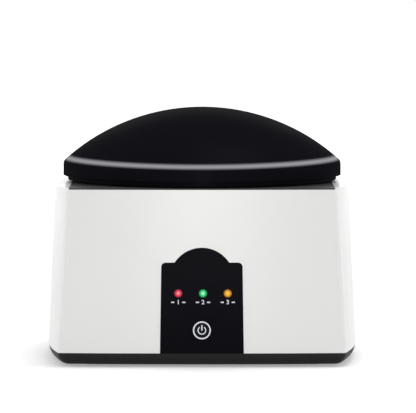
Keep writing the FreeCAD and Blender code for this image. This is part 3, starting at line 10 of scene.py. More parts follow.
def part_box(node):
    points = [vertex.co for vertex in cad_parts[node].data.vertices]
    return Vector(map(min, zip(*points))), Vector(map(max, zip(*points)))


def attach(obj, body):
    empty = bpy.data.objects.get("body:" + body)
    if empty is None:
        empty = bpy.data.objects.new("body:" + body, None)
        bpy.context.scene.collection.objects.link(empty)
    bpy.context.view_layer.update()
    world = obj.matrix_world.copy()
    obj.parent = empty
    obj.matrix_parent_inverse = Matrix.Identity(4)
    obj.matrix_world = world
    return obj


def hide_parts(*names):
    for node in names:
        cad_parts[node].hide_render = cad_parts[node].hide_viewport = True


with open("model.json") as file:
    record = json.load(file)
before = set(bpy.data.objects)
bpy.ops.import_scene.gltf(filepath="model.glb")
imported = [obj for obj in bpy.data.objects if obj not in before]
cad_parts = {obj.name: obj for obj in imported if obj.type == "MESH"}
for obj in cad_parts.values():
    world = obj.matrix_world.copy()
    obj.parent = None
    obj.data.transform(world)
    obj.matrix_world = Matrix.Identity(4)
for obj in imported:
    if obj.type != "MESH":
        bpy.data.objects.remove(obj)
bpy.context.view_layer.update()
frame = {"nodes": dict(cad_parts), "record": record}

# --- Table and studio ---------------------------------------------------------
# A wide table of matt white laminate in a white room, under six soft lamps. The table takes the
# shadow of the machine, and table and room show plain white to the camera and in gloss.


def colour(code):
    """Linear colour from an sRGB hex value."""
    shares = [int(code[start : start + 2], 16) / 255 for start in (1, 3, 5)]
    linear = [c / 12.92 if c <= 0.04045 else ((c + 0.055) / 1.055) ** 2.4 for c in shares]
    return (*linear, 1.0)


def add(tree, kind, inputs=None, **settings):
    """Add one node. Settings are its own; inputs are values, sockets, nodes or lists of nodes.

    An input has its name or its place among those in use; a node gives its first output in use.
    """
    node = tree.nodes.new(kind)
    for name, value in settings.items():
        setattr(node, name, value)
    used = [socket for socket in node.inputs if socket.enabled]
    for name, value in (inputs or {}).items():
        socket = used[name] if isinstance(name, int) else node.inputs[name]
        for source in value if isinstance(value, list) else [value]:
            if isinstance(source, bpy.types.Node):
                source = next(output for output in source.outputs if output.enabled)
            if isinstance(source, bpy.types.NodeSocket):
                tree.links.new(source, socket)
            else:
                socket.default_value = source
    return node


def new_material(name):
    """An empty material and its node tree."""
    material = bpy.data.materials.new(name)
    material.use_nodes = True
    material.node_tree.nodes.clear()
    return material, material.node_tree


def new_object(name, data):
    piece = bpy.data.objects.new(name, data)
    bpy.context.scene.collection.objects.link(piece)
    return piece


def seen_rays(tree):
    """One for rays from the camera, in gloss or through glass, and nothing for all others."""
    rays = add(tree, "ShaderNodeLightPath").outputs
    straight, mirrored = rays["Is Camera Ray"], rays["Is Glossy Ray"]
    direct = add(tree, "ShaderNodeMath", {0: straight, 1: mirrored}, operation="ADD")
    through = rays["Is Transmission Ray"]
    return add(tree, "ShaderNodeMath", {0: direct, 1: through}, operation="ADD", use_clamp=True)


scene = bpy.context.scene
scene.view_settings.view_transform = "Standard"

ROOM_LIGHT = 0.55  # how much the room itself lights the machine
world = bpy.data.worlds.new("white_room")
scene.world = world
world.use_nodes = True
room = world.node_tree
room.nodes.clear()
strength = add(room, "ShaderNodeMapRange", {"Value": seen_rays(room), "To Min": ROOM_LIGHT})
background = add(room, "ShaderNodeBackground", {"Color": colour("#ffffff"), "Strength": strength})
add(room, "ShaderNodeOutputWorld", {"Surface": background})

# Laminate is quite matt, so the shadow on it is soft and it mirrors nothing.
TABLE_HALF = 6.0  # half of its side, m
# What the lamps leave open up to white: a third by the machine, more from 0.6 to 2.2 m off.
TABLE_GLOW = {"From Min": 0.6, "From Max": 2.2, "To Min": 0.33, "To Max": 0.6}
table_material, tree = new_material("matt_white_laminate")
place = add(tree, "ShaderNodeTexCoord").outputs["Object"]
distance = add(tree, "ShaderNodeVectorMath", {0: place}, operation="LENGTH")
open_share = add(tree, "ShaderNodeMapRange", {"Value": distance, **TABLE_GLOW})
glow = add(tree, "ShaderNodeMath", {0: seen_rays(tree), 1: open_share}, operation="MULTIPLY")
surface = add(
    tree,
    "ShaderNodeBsdfPrincipled",
    {
        "Base Color": colour("#eaeaea"),
        "Roughness": 0.9,
        "Specular IOR Level": 0.1,
        "Emission Color": colour("#ffffff"),
        "Emission Strength": glow,
    },
)
add(tree, "ShaderNodeOutputMaterial", {"Surface": surface})
mesh = bpy.data.meshes.new("table")
corners = [(x * TABLE_HALF, y * TABLE_HALF, 0) for x, y in ((-1, -1), (1, -1), (1, 1), (-1, 1))]
mesh.from_pydata(corners, [], [(0, 1, 2, 3)])
mesh.materials.append(table_material)
new_object("table", mesh)


def soft_light(name, place, aim, size, power):
    """Softbox that shines from place towards aim; metres and watts."""
    lamp = bpy.data.lights.new(name, "AREA")
    lamp.shape = "RECTANGLE"
    lamp.size, lamp.size_y = size
    lamp.energy = power
    holder = new_object(name, lamp)
    holder.location = place
    holder.rotation_euler = (Vector(aim) - Vector(place)).to_track_quat("-Z", "Y").to_euler()


MIDDLE = (0, 0, 0.08)  # of the machine
soft_light("front_lamp", (0, -2.4, 1.5), MIDDLE, (1.8, 1.2), 7)
soft_light("top_lamp", (0.35, 0.1, 1.7), MIDDLE, (0.9, 0.7), 7)
soft_light("left_lamp", (-2.2, -0.35, 0.8), MIDDLE, (1.0, 1.2), 10)
soft_light("right_lamp", (2.2, -0.35, 0.8), MIDDLE, (1.0, 1.2), 8)
soft_light("back_lamp", (0, 2.6, 1.0), MIDDLE, (1.4, 1.0), 11)
# Low and narrow: its gloss lifts the middle of the housing's front.
soft_light("narrow_lamp", (0, -2.9, 0.21), (0, 0, 0.21), (0.48, 0.4), 11)

# A long lens a little above the table, square to the front.
MM = 0.001
CAMERA_PLACE = Vector((3.85, -2720, 269.8)) * MM
CAMERA_AIM = Vector((3.85, 0, 95.94)) * MM
FOCAL_LENGTH = 361.7  # mm, over a sensor 36 mm wide
VIEW_END = 50.0  # m
lens = bpy.data.cameras.new("camera")
lens.lens = FOCAL_LENGTH
lens.clip_end = VIEW_END
camera = new_object("camera", lens)
camera.location = CAMERA_PLACE
camera.rotation_euler = (CAMERA_AIM - CAMERA_PLACE).to_track_quat("-Z", "Y").to_euler()
scene.camera = camera

# --- Base pan, feet and base screws -------------------------------------------
# Black ABS tray, injection moulded with a fine spark texture. Four rubber feet are pressed into
# its floor, and four zinc-plated pan-head screws run up through it into the housing.


def surfaced(tree, base, rough, height, depth, own=None):
    """The end of each finish: colour, roughness, a relief depth mm high, and what is its own."""
    relief = add(tree, "ShaderNodeBump", {"Height": height, "Distance": depth * MM})
    looks = {"Base Color": base, "Roughness": rough, "Normal": relief, **(own or {})}
    surface = add(tree, "ShaderNodeBsdfPrincipled", looks)
    add(tree, "ShaderNodeOutputMaterial", {"Surface": surface})


def shaded(tree, code, cloud, low, high):
    """A colour that drifts with a cloud, from low to high times itself."""
    shade = add(tree, "ShaderNodeMapRange", {"Value": cloud, "To Min": low, "To Max": high})
    return add(
        tree,
        "ShaderNodeMix",
        {0: 1.0, 1: colour(code), 2: shade},
        data_type="RGBA",
        blend_type="MULTIPLY",
    )


CLOUD = 45.0  # a moulding's shade and gloss drift over this distance, mm
GLOSS_DRIFT = 0.12
COAT_ROUGHNESS = 0.1


def moulded(name, code, roughness, grain, depth, gloss=0.4, tint=0.04, coat=0.0):
    """Moulded plastic or rubber: grain is the width of its texture and depth its height, in mm.

    A tool's texture is under 0.1 mm wide and is drawn at 0.3 to 1.5 mm, so that it shows. From
    2 mm up it is the faint wave of a polished moulding, at its own size.
    """
    material, tree = new_material(name)
    place = add(tree, "ShaderNodeTexCoord").outputs["Object"]
    cloud = add(tree, "ShaderNodeTexNoise", {"Vector": place, "Scale": 1 / (CLOUD * MM)})
    base = shaded(tree, code, cloud, 1 - tint, 1 + tint)
    low, high = roughness * (1 - GLOSS_DRIFT), roughness * (1 + GLOSS_DRIFT)
    rough = add(tree, "ShaderNodeMapRange", {"Value": cloud, "To Min": low, "To Max": high})
    texture = add(tree, "ShaderNodeTexNoise", {"Vector": place, "Scale": 1 / (grain * MM)})
    own = {"Specular IOR Level": gloss, "Coat Weight": coat, "Coat Roughness": COAT_ROUGHNESS}
    surfaced(tree, base, rough, texture, depth, own)
    return material


# Bright zinc plating: bluish and yellowish clouds, and a shine broken by tumbling marks. Real
# marks are a fifth as wide or less, and are drawn wider so that they show.
METAL = {"Metallic": 1.0}
ZINC_CLOUD = 3.0
ZINC_MARK = 0.5
zinc_steel, tree = new_material("zinc_plated_steel")
place = add(tree, "ShaderNodeTexCoord").outputs["Object"]
cloud = add(tree, "ShaderNodeTexNoise", {"Vector": place, "Scale": 1 / (ZINC_CLOUD * MM)})
bluish, yellowish = colour("#b9bcc0"), colour("#c9c4b4")
base = add(tree, "ShaderNodeMix", {0: cloud, 1: bluish, 2: yellowish}, data_type="RGBA")
marks = add(tree, "ShaderNodeTexNoise", {"Vector": place, "Scale": 1 / (ZINC_MARK * MM)})
rough = add(tree, "ShaderNodeMapRange", {"Value": marks, "To Min": 0.28, "To Max": 0.42})
surfaced(tree, base, rough, cloud, 0.004, METAL)

WELD = 0.001 * MM  # corners nearer than this are one
FLAT_ANGLE = 0.05  # faces that turn by less than this, in degrees, are one
SHARP_ANGLE = 30.0  # and from this on there is an edge between them
BEVEL_STEPS = 3
FACE_WEIGHT = 80  # how far large faces keep the shading beside them flat

record = frame["record"]
body_of = {node: body for body, nodes in record["behaviour"]["bodies"].items() for node in nodes}


def plain_mesh(piece):
    """What is made of a piece by all that is live on it, as a mesh of its own."""
    return bpy.data.meshes.new_from_object(
        piece.evaluated_get(bpy.context.evaluated_depsgraph_get())
    )


def settle(piece, node, material, sharp=SHARP_ANGLE, instead=True):
    """Apply what is live on a piece, give it its finish and fix it to the node's body."""
    made = plain_mesh(piece)
    piece.modifiers.clear()
    piece.data = made
    made.name = piece.name
    if not made.has_custom_normals:
        made.shade_smooth()
        made.set_sharp_from_angle(angle=math.radians(sharp))
    made.materials.clear()
    made.materials.append(material)
    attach(piece, body_of[node])
    if instead:
        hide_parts(node)


def merged(node):
    """Merged copy of a solid's mesh, its flat faces in one piece each."""
    shape = bmesh.new()
    shape.from_mesh(frame["nodes"][node].data)
    bmesh.ops.remove_doubles(shape, verts=shape.verts, dist=WELD)
    flat = math.radians(FLAT_ANGLE)
    bmesh.ops.dissolve_limit(shape, angle_limit=flat, verts=shape.verts, edges=shape.edges)
    return shape


def mesh_of(shape, name):
    mesh = bpy.data.meshes.new(name)
    shape.to_mesh(mesh)
    shape.free()
    return mesh


def dressed(node, material, edge, plain=None):
    """Stand-in for a solid: edges rounded by edge, in mm, but for those in the box plain."""
    shape = merged(node)
    weights = shape.edges.layers.float.new("bevel_weight_edge")
    for side in shape.edges:
        middle = (side.verts[0].co + side.verts[1].co) / 2
        if side.calc_face_angle(0.0) < math.radians(SHARP_ANGLE):
            continue
        if plain and all(a <= m <= b for a, m, b in zip(plain[0], middle, plain[1])):
            side.smooth = False
        else:
            side[weights] = 1.0
    mesh = mesh_of(shape, node + "_moulding")
    for face in mesh.polygons:
        face.use_smooth = True
    piece = new_object(node + "_moulding", mesh)
    if edge:
        bevel = piece.modifiers.new("edges", "BEVEL")
        bevel.width = edge * MM
        bevel.segments = BEVEL_STEPS
        bevel.limit_method = "WEIGHT"
        bevel.miter_outer = "MITER_ARC"
        even = piece.modifiers.new("even_shading", "WEIGHTED_NORMAL")
        even.weight = FACE_WEIGHT
        even.keep_sharp = True
    settle(piece, node, material)


def solids_in(node):
    """Lowest and highest corner of each loose solid of a node, in a steady order."""
    shape = merged(node)
    left = {vert.index: vert for vert in shape.verts}
    boxes = []
    while left:
        _, first = left.popitem()
        waiting = [first]
        places = []
        while waiting:
            vert = waiting.pop()
            places.append(vert.co.copy())
            for edge in vert.link_edges:
                other = edge.other_vert(vert)
                if left.pop(other.index, None):
                    waiting.append(other)
        low = Vector(min(p[i] for p in places) for i in range(3))
        high = Vector(max(p[i] for p in places) for i in range(3))
        boxes.append((low, high))
    shape.free()
    return sorted(boxes, key=lambda pair: (round(pair[0].x, 5), round(pair[0].y, 5)))


def new_tree(name, **kinds):
    """Empty tree of Geometry Nodes and its inputs, of which each is named with its kind."""
    tree = bpy.data.node_groups.new(name, "GeometryNodeTree")
    tree.interface.new_socket("Geometry", in_out="OUTPUT", socket_type="NodeSocketGeometry")
    for label, kind in {"Geometry": "Geometry", **kinds}.items():
        label = label.replace("_", " ")
        tree.interface.new_socket(label, in_out="INPUT", socket_type="NodeSocket" + kind)
    return tree, add(tree, "NodeGroupInput").outputs


def closing(tree, geometry, material):
    """The end of each tree: real mesh, merged and with its material."""
    real = add(tree, "GeometryNodeRealizeInstances", {0: geometry})
    whole = add(tree, "GeometryNodeMergeByDistance", {0: real, "Distance": WELD})
    painted = add(tree, "GeometryNodeSetMaterial", {0: whole, "Material": material})
    add(tree, "NodeGroupOutput", {0: painted})


def points_mesh(places, edges=()):
    mesh = bpy.data.meshes.new("points")
    mesh.from_pydata(places, edges, [])
    return mesh


def grown(name, tree, seed, **inputs):
    """Plain mesh of what a tree makes of a seed mesh, its faces turned outwards."""
    piece = new_object(name, seed)
    modifier = piece.modifiers.new("nodes", "NODES")
    modifier.node_group = tree
    for item in tree.interface.items_tree:
        value = inputs.get(item.name.replace(" ", "_"))
        if item.in_out == "INPUT" and value is not None:
            modifier[item.identifier] = value
    made = plain_mesh(piece)
    piece.modifiers.clear()
    shape = bmesh.new()
    shape.from_mesh(made)
    bmesh.ops.recalc_face_normals(shape, faces=shape.faces)
    shape.to_mesh(made)
    shape.free()
    piece.data = made
    return piece


HEAD_HEIGHT = 2.0
HOUSING_SCREW = (2.8, 1.475)  # radius of head and shank, mm
INNER_SCREW = (2.1, 1.075)
# Shares of the head's radius: its outer face, and length and width of the bars of the cross.
FACE_SHARE, ARM_SHARE, WIDTH_SHARE = 0.82, 1.1, 0.26
screw_tree, given = new_tree(
    "pan_head_screws",
    Head_Radius="Float",
    Head_Height="Float",
    Shank_Radius="Float",
    Length="Float",
    Material="Material",
)
head_radius, head_height = given["Head Radius"], given["Head Height"]
face, arm, width = (
    add(screw_tree, "ShaderNodeMath", {0: head_radius, 1: share}, operation="MULTIPLY")
    for share in (FACE_SHARE, ARM_SHARE, WIDTH_SHARE)
)
head = add(
    screw_tree,
    "GeometryNodeMeshCone",
    {"Vertices": 40, "Radius Top": head_radius, "Radius Bottom": face, "Depth": head_height},
)
bars = []
for turn in (0, math.pi / 2):
    size = add(screw_tree, "ShaderNodeCombineXYZ", {0: arm, 1: width, 2: head_height})
    bar = add(screw_tree, "GeometryNodeMeshCube", {"Size": size})
    bars.append(add(screw_tree, "GeometryNodeTransform", {0: bar, "Rotation": (0, 0, turn)}))
recessed = add(screw_tree, "GeometryNodeMeshBoolean", {0: head, 1: bars}, operation="DIFFERENCE")
drop = add(screw_tree, "ShaderNodeMath", {0: head_height, 1: -1}, operation="MULTIPLY")
down = add(screw_tree, "ShaderNodeCombineXYZ", {2: drop})
lowered = add(screw_tree, "GeometryNodeTransform", {0: recessed, "Translation": down})
shank = add(
    screw_tree,
    "GeometryNodeMeshCylinder",
    {"Vertices": 24, "Radius": given["Shank Radius"], "Depth": given["Length"]},
)
rise = add(screw_tree, "ShaderNodeMath", {0: given["Length"], 1: 0.5}, operation="MULTIPLY")
up = add(screw_tree, "ShaderNodeCombineXYZ", {2: rise})
raised = add(screw_tree, "GeometryNodeTransform", {0: shank, "Translation": up})
both = add(screw_tree, "GeometryNodeJoinGeometry", {0: [lowered, raised]})
placed = add(
    screw_tree, "GeometryNodeInstanceOnPoints", {"Points": given["Geometry"], "Instance": both}
)
closing(screw_tree, placed, given["Material"])


def screws(node, radii):
    """Zinc-plated cross-recess screws, heads down, one in place of each solid of a node."""
    boxes = solids_in(node)
    seats = [
        ((low.x + high.x) / 2, (low.y + high.y) / 2, low.z + HEAD_HEIGHT * MM)
        for low, high in boxes
    ]
    piece = grown(
        node + "_cross_recess",
        screw_tree,
        points_mesh(seats),
        Head_Radius=radii[0] * MM,
        Head_Height=HEAD_HEIGHT * MM,
        Shank_Radius=radii[1] * MM,
        Length=boxes[0][1].z - seats[0][2],
        Material=zinc_steel,
    )
    settle(piece, node, zinc_steel)


# The spark texture scatters the light: a dull black with no highlights.
base_abs = moulded("black_abs_spark_texture", "#211f20", 0.55, gloss=0.12, grain=0.7, depth=0.02)
# Moulded rubber is duller still, and a shade darker.
foot_rubber = moulded("black_foot_rubber", "#1b1b1b", 0.8, gloss=0.3, grain=0.5, depth=0.02)
dressed("base_pan", base_abs, edge=0.3)
dressed("rubber_feet", foot_rubber, edge=0.5)
screws("base_screws", HOUSING_SCREW)

# --- Housing shell ------------------------------------------------------------
# One white ABS moulding with bowed, leaning sides. It stands on the pan, whose screws go up into
# posts inside it, and has a window in its front for the fascia.

# A polished tool leaves white ABS smooth: even in tone, with wide soft highlights.
shell_abs = moulded(
    "white_abs_polished", "#e7e7e6", 0.2, gloss=0.15, grain=1.5, depth=0.002, tint=0.008
)
dressed("body_shell", shell_abs, edge=0.3, plain=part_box("control_panel"))

# --- Deck and hinge pin -------------------------------------------------------
# Dark grey ABS plate between the white shoulders, with the sunk ledge of the tray and the ears
# of the hinge, screwed from below. The pin is ground steel, pressed through the ears.

# Fine satin texture: the same dark grey from all sides, hardly any shine.
deck_abs = moulded("dark_grey_abs_satin", "#434242", 0.5, gloss=0.02, grain=0.8, depth=0.01)
dressed("deck_plate", deck_abs, edge=0.1)
screws("deck_screws", INNER_SCREW)

METAL_CLOUD = 12.0
METAL_SHADES = (0.85, 1.05)
MARK_GLOSS = 0.25  # share by which the marks vary the roughness
MARK_DEPTH = 0.002


def drawn_metal(name, code, roughness, line, squeeze):
    """Bare metal with marks line mm wide, and longer along an axis the more it is squeezed.

    Real marks are a tenth as wide, and are drawn wider so that they show.
    """
    material, tree = new_material(name)
    place = add(tree, "ShaderNodeTexCoord").outputs["Object"]
    drawn = add(tree, "ShaderNodeMapping", {"Vector": place, "Scale": squeeze})
    marks = add(tree, "ShaderNodeTexNoise", {"Vector": drawn, "Scale": 1 / (line * MM)})
    cloud = add(tree, "ShaderNodeTexNoise", {"Vector": place, "Scale": 1 / (METAL_CLOUD * MM)})
    base = shaded(tree, code, cloud, *METAL_SHADES)
    low, high = roughness * (1 - MARK_GLOSS), roughness * (1 + MARK_GLOSS)
    rough = add(tree, "ShaderNodeMapRange", {"Value": marks, "To Min": low, "To Max": high})
    surfaced(tree, base, rough, marks, MARK_DEPTH, METAL)
    return material


# Ground steel: a bright line along the pin, crossed by fine rings.
pin_steel = drawn_metal("ground_steel", "#c4c6c9", 0.2, 0.3, (1.0, 0.05, 0.05))
dressed("hinge_pin", pin_steel, edge=0.2)

# --- Steam chamber and heater -------------------------------------------------
# Dark grey PPS pot hung under the ledge. A turned aluminium plate sits in its floor on a silicone
# gasket, and a zinc-plated bar clamps the PTC element against the boss of the plate.

# Glass-filled PPS: a slightly uneven, half-matt dark grey.
chamber_pps = moulded("dark_grey_pps", "#3a3a3b", 0.5, gloss=0.35, grain=1.2, depth=0.012)
# Plain silicone, moulded: matt and even.
gasket_silicone = moulded("grey_silicone", "#7b7b7b", 0.6, gloss=0.3, grain=1.0, depth=0.01)
dressed("steam_chamber", chamber_pps, edge=0.3)
screws("chamber_screws", INNER_SCREW)

# Aluminium faced on a lathe: rings about the upright axis that catch the light as a fan. They are
# a tenth of a millimetre apart, and are drawn this far apart so that they show.
RING_PITCH = 7.54
WAVE_LENGTH = math.pi / 10  # of the wave texture at a scale of 1, m
PLATE_CLOUD = 20.0
plate_aluminium, tree = new_material("turned_aluminium")
place = add(tree, "ShaderNodeTexCoord").outputs["Object"]
rings = add(
    tree,
    "ShaderNodeTexWave",
    {"Vector": place, "Scale": WAVE_LENGTH / (RING_PITCH * MM), "Distortion": 0.4},
    wave_type="RINGS",
    rings_direction="Z",
).outputs["Fac"]
cloud = add(tree, "ShaderNodeTexNoise", {"Vector": place, "Scale": 1 / (PLATE_CLOUD * MM)})
dull, bright = colour("#d3d5d8"), colour("#e9eaec")
base = add(tree, "ShaderNodeMix", {0: cloud, 1: dull, 2: bright}, data_type="RGBA")
rough = add(tree, "ShaderNodeMapRange", {"Value": rings, "To Min": 0.22, "To Max": 0.34})
surfaced(tree, base, rough, rings, 0.006, METAL)
dressed("heater_plate", plate_aluminium, edge=0.25)
dressed("plate_gasket", gasket_silicone, edge=0.1)

# Extruded aluminium: a dull shine with lines along the element.
element_aluminium = drawn_metal("extruded_aluminium", "#c3c5c8", 0.38, 0.5, (0.05, 1.0, 1.0))
dressed("ptc_heater", element_aluminium, edge=0.3)
dressed("heater_clamp", zinc_steel, edge=0.2)
screws("clamp_screws", INNER_SCREW)
# Moulded phenolic: a warm brown, mottled by its filler.
brown_phenolic = moulded(
    "brown_phenolic", "#4a2a1b", 0.4, gloss=0.5, grain=0.6, depth=0.01, tint=0.12
)
dressed("thermostat", brown_phenolic, edge=0.3)
# Drawn brass, left bare: a yellow shine with lines along the fuse.
fuse_brass = drawn_metal("plain_brass", "#cdb26f", 0.3, 0.4, (0.1, 1.0, 1.0))
dressed("thermal_fuse", fuse_brass, edge=0.3)

# --- Heat shield --------------------------------------------------------------
# Zinc-plated sheet steel, punched and laid on four posts of the pan, held by push-on spring clips
# of the same plated steel.

# Rolled sheet: a dull grey shine with faint lines from front to back.
shield_steel = drawn_metal("galvanised_sheet", "#b4b7ba", 0.4, 1.0, (1.0, 0.06, 1.0))
dressed("heat_shield", shield_steel, edge=0.15)
dressed("shield_clips", zinc_steel, edge=0.1)

# --- Reservoir cup ------------------------------------------------------------
# Aluminium cup with a rolled flange, deep drawn from one round of sheet. It stands loose over the
# heater plate and lifts out for filling.

# Drawing leaves upright streaks on the wall, so its shine is broken into fine lines.
cup_aluminium = drawn_metal("drawn_aluminium", "#dcdde0", 0.28, 0.8, (1.0, 1.0, 0.05))
dressed("reservoir_cup", cup_aluminium, edge=0.3)

# --- Finger tray --------------------------------------------------------------
# Black satin ABS moulding. A bead runs round every port, six ribs divide the ports and the plain
# sector at the front, and the raised rim is rounded. The clamping plate is screwed on from below.

# Handling has scratched slanting streaks into the satin, grey and dull beside a fresher black.
# They show most in soft paler patches, which are painted sheen. Real streaks are a tenth as wide,
# and are drawn wider so that they show.
STREAK_WIDTH = 0.9
STREAK_SQUEEZE = 0.14  # its width over its length
STREAK_TURN = math.radians(28)
SHEEN_PATCH_WIDTH = 38.0  # patches of painted sheen are this far apart
tray_abs, tree = new_material("black_abs_streaky_satin")
place = add(tree, "ShaderNodeTexCoord").outputs["Object"]
turned_place = add(
    tree,
    "ShaderNodeMapping",
    {"Vector": place, "Rotation": (0, 0, STREAK_TURN), "Scale": (1.0, STREAK_SQUEEZE, 1.0)},
)
streaks = add(
    tree,
    "ShaderNodeTexNoise",
    {"Vector": turned_place, "Scale": 1 / (STREAK_WIDTH * MM), "Detail": 4.0},
)
clear = add(tree, "ShaderNodeMapRange", {"Value": streaks, "From Min": 0.35, "From Max": 0.75})
# Soft paler patches, in which the streaks show most, are painted sheen.
sheen_cloud = add(tree, "ShaderNodeTexNoise", {"Vector": place, "Scale": 1 / (SHEEN_PATCH_WIDTH * MM)})
sheen_patches = add(
    tree,
    "ShaderNodeMapRange",
    {"Value": sheen_cloud, "From Min": 0.38, "From Max": 0.62, "To Min": 0.15},
)
streaks_and_sheen = add(tree, "ShaderNodeMath", {0: clear, 1: sheen_patches}, operation="MULTIPLY")
fresh, grey = colour("#0a090c"), colour("#2a292e")
base = add(tree, "ShaderNodeMix", {0: streaks_and_sheen, 1: fresh, 2: grey}, data_type="RGBA")
rough = add(tree, "ShaderNodeMapRange", {"Value": streaks_and_sheen, "To Min": 0.2, "To Max": 0.45})
surfaced(tree, base, rough, streaks, 0.0015, {"Specular IOR Level": 0.16})
dressed("finger_tray", tray_abs, edge=0.7)
dressed("tray_underplate", chamber_pps, edge=0.2)
screws("tray_screws", INNER_SCREW)

PORT_WIDTH = 28.0
PORT_LENGTH = 34.0
PORT_STEPS = 24  # in each round end
PORTS = {"middle": 0, "inner_left": 46, "inner_right": -46, "outer_left": 96, "outer_right": -96}
middle_low, middle_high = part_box("finger_seal_middle")
PORT_PITCH = (middle_low.y + middle_high.y) / 2 / MM  # from the tray's middle to a port's


def port_point(x, y, angle, z):
    """From a port's own axes, in mm, to the tray: y runs outwards from the tray's middle."""
    turn = math.radians(angle)
    along = PORT_PITCH + y
    return (
        (x * math.cos(turn) - along * math.sin(turn)) * MM,
        (x * math.sin(turn) + along * math.cos(turn)) * MM,
        z * MM,
    )


def port_outline(grow):
    """Corners of the round-ended port in its own axes, set out by grow."""
    radius = PORT_WIDTH / 2 + grow
    reach = (PORT_LENGTH - PORT_WIDTH) / 2
    corners = []
    for end, first in ((reach, 0.0), (-reach, math.pi)):
        for step in range(PORT_STEPS + 1):
            turn = first + math.pi * step / PORT_STEPS
            corners.append((radius * math.cos(turn), end + radius * math.sin(turn)))
    return corners


def tray_point(radius, turn, height):
    """Place on the tray at a turn from its back, in mm."""
    return (-radius * math.sin(turn) * MM, radius * math.cos(turn) * MM, height * MM)


bead_tree, given = new_tree(
    "beads_along_lines", Half_Width="Float", Half_Height="Float", Material="Material"
)
line = add(bead_tree, "GeometryNodeMeshToCurve", {0: given["Geometry"]})
level_line = add(bead_tree, "GeometryNodeSetCurveNormal", {0: line}, mode="Z_UP")
ring = add(bead_tree, "GeometryNodeCurvePrimitiveCircle", {"Resolution": 20, "Radius": 1.0})
half_sizes = add(
    bead_tree, "ShaderNodeCombineXYZ", {0: given["Half Width"], 1: given["Half Height"], 2: 1.0}
)
section = add(bead_tree, "GeometryNodeTransform", {0: ring, "Scale": half_sizes})
bead = add(
    bead_tree,
    "GeometryNodeCurveToMesh",
    {0: level_line, "Profile Curve": section, "Fill Caps": True},
)
closing(bead_tree, bead, given["Material"])

# The tool is polished where it forms the beads: thin bright lines on the satin.
bead_abs = moulded("black_abs_gloss_beads", "#0f0e11", 0.1, gloss=0.45, grain=4.0, depth=0.004)
BEAD_SHARP_ANGLE = 40.0


def beads(name, lines, half_width, half_height, closed):
    """Half-round beads, in mm, along lines of places on the tray."""
    places = []
    joins = []
    for line in lines:
        first, count = len(places), len(line)
        places += line
        for row in range(count if closed else count - 1):
            joins.append((first + row, first + (row + 1) % count))
    piece = grown(
        name,
        bead_tree,
        points_mesh(places, joins),
        Half_Width=half_width * MM,
        Half_Height=half_height * MM,
        Material=bead_abs,
    )
    settle(piece, "finger_tray", bead_abs, BEAD_SHARP_ANGLE, instead=False)


RIM_WIDTH = 3.3
RIM_RISE = 2.0
_, tray_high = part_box("finger_tray")
PLATE_TOP = tray_high.z / MM - RIM_RISE
PORT_BEAD = (1.3, 1.5)  # half width and half height
PORT_BEAD_OFFSET = 0.2  # from the port's edge to the middle of the bead
outlines = [
    [port_point(x, y, angle, PLATE_TOP) for x, y in port_outline(PORT_BEAD_OFFSET)]
    for angle in PORTS.values()
]
beads("port_beads", outlines, *PORT_BEAD, closed=True)

RIB_ANGLES = (23, -23, 71, -71, 124, -124)
RIB = (1.0, 1.9)
RIB_LAP = 0.3  # how far a rib runs into the rim
RIB_ENDS = (27.5, tray_high.x / MM - RIM_WIDTH + RIB_LAP)  # radii
spokes = [
    [tray_point(radius, math.radians(angle), PLATE_TOP) for radius in RIB_ENDS]
    for angle in RIB_ANGLES
]
beads("divider_ribs", spokes, *RIB, closed=False)

RIM_CORNERS = 144
RIM_BEAD = (RIM_WIDTH / 2, 0.9)
RIM_BEAD_DROP = 0.8  # from the top of the rim to the middle of its bead
rim_radius = tray_high.x / MM - RIM_WIDTH / 2
rim_height = PLATE_TOP + RIM_RISE - RIM_BEAD_DROP
rim = [
    tray_point(rim_radius, 2 * math.pi * corner / RIM_CORNERS, rim_height)
    for corner in range(RIM_CORNERS)
]
beads("rim_bead", [rim], *RIM_BEAD, closed=True)

# --- Finger seals -------------------------------------------------------------
# Black silicone discs clamped round the ports by the plate below. Slits in a star leave six soft
# petals that bulge in the middle of their length and dip towards the finger.
PETALS = 6
PETAL_START = math.pi / 6
PETAL_COLUMNS = 10
PETAL_ROWS = 14
SLIT_WIDTH = 0.5
SEAL_LAP = 1.4  # how far the disc reaches past the port's edge
SEAL_WALL = 1.1
SEAL_SHARP_ANGLE = 60.0
PETAL_BULGE = 3.0
PETAL_DIP = 1.6  # of the tip
PETAL_ROLL = 0.9  # of the long edges, downwards
HALVINGS = 30


def port_reach(turn, grow):
    """Distance from a port's middle to its edge in one direction, by halving."""
    radius = PORT_WIDTH / 2 + grow
    straight = (PORT_LENGTH - PORT_WIDTH) / 2
    low, high = 0.0, PORT_LENGTH
    for _ in range(HALVINGS):
        middle = (low + high) / 2
        x, y = middle * math.cos(turn), middle * math.sin(turn)
        beyond = max(abs(y) - straight, 0.0)
        inside = math.hypot(x, beyond) < radius
        low, high = (middle, high) if inside else (low, middle)
    return low


def petal_height(share, side):
    """Height of a petal over its seat: share runs from its tip to the port, side across it.

    The powers say how near to the tip, and to the long edges, the petal starts to bend down.
    """
    bulge = PETAL_BULGE * math.sin(math.pi * min(share * 1.02, 1.0)) ** 1.2
    dip = PETAL_DIP * (1 - share) ** 4
    roll = PETAL_ROLL * abs(side) ** 5 * (1 - share**6)
    return bulge - dip - roll


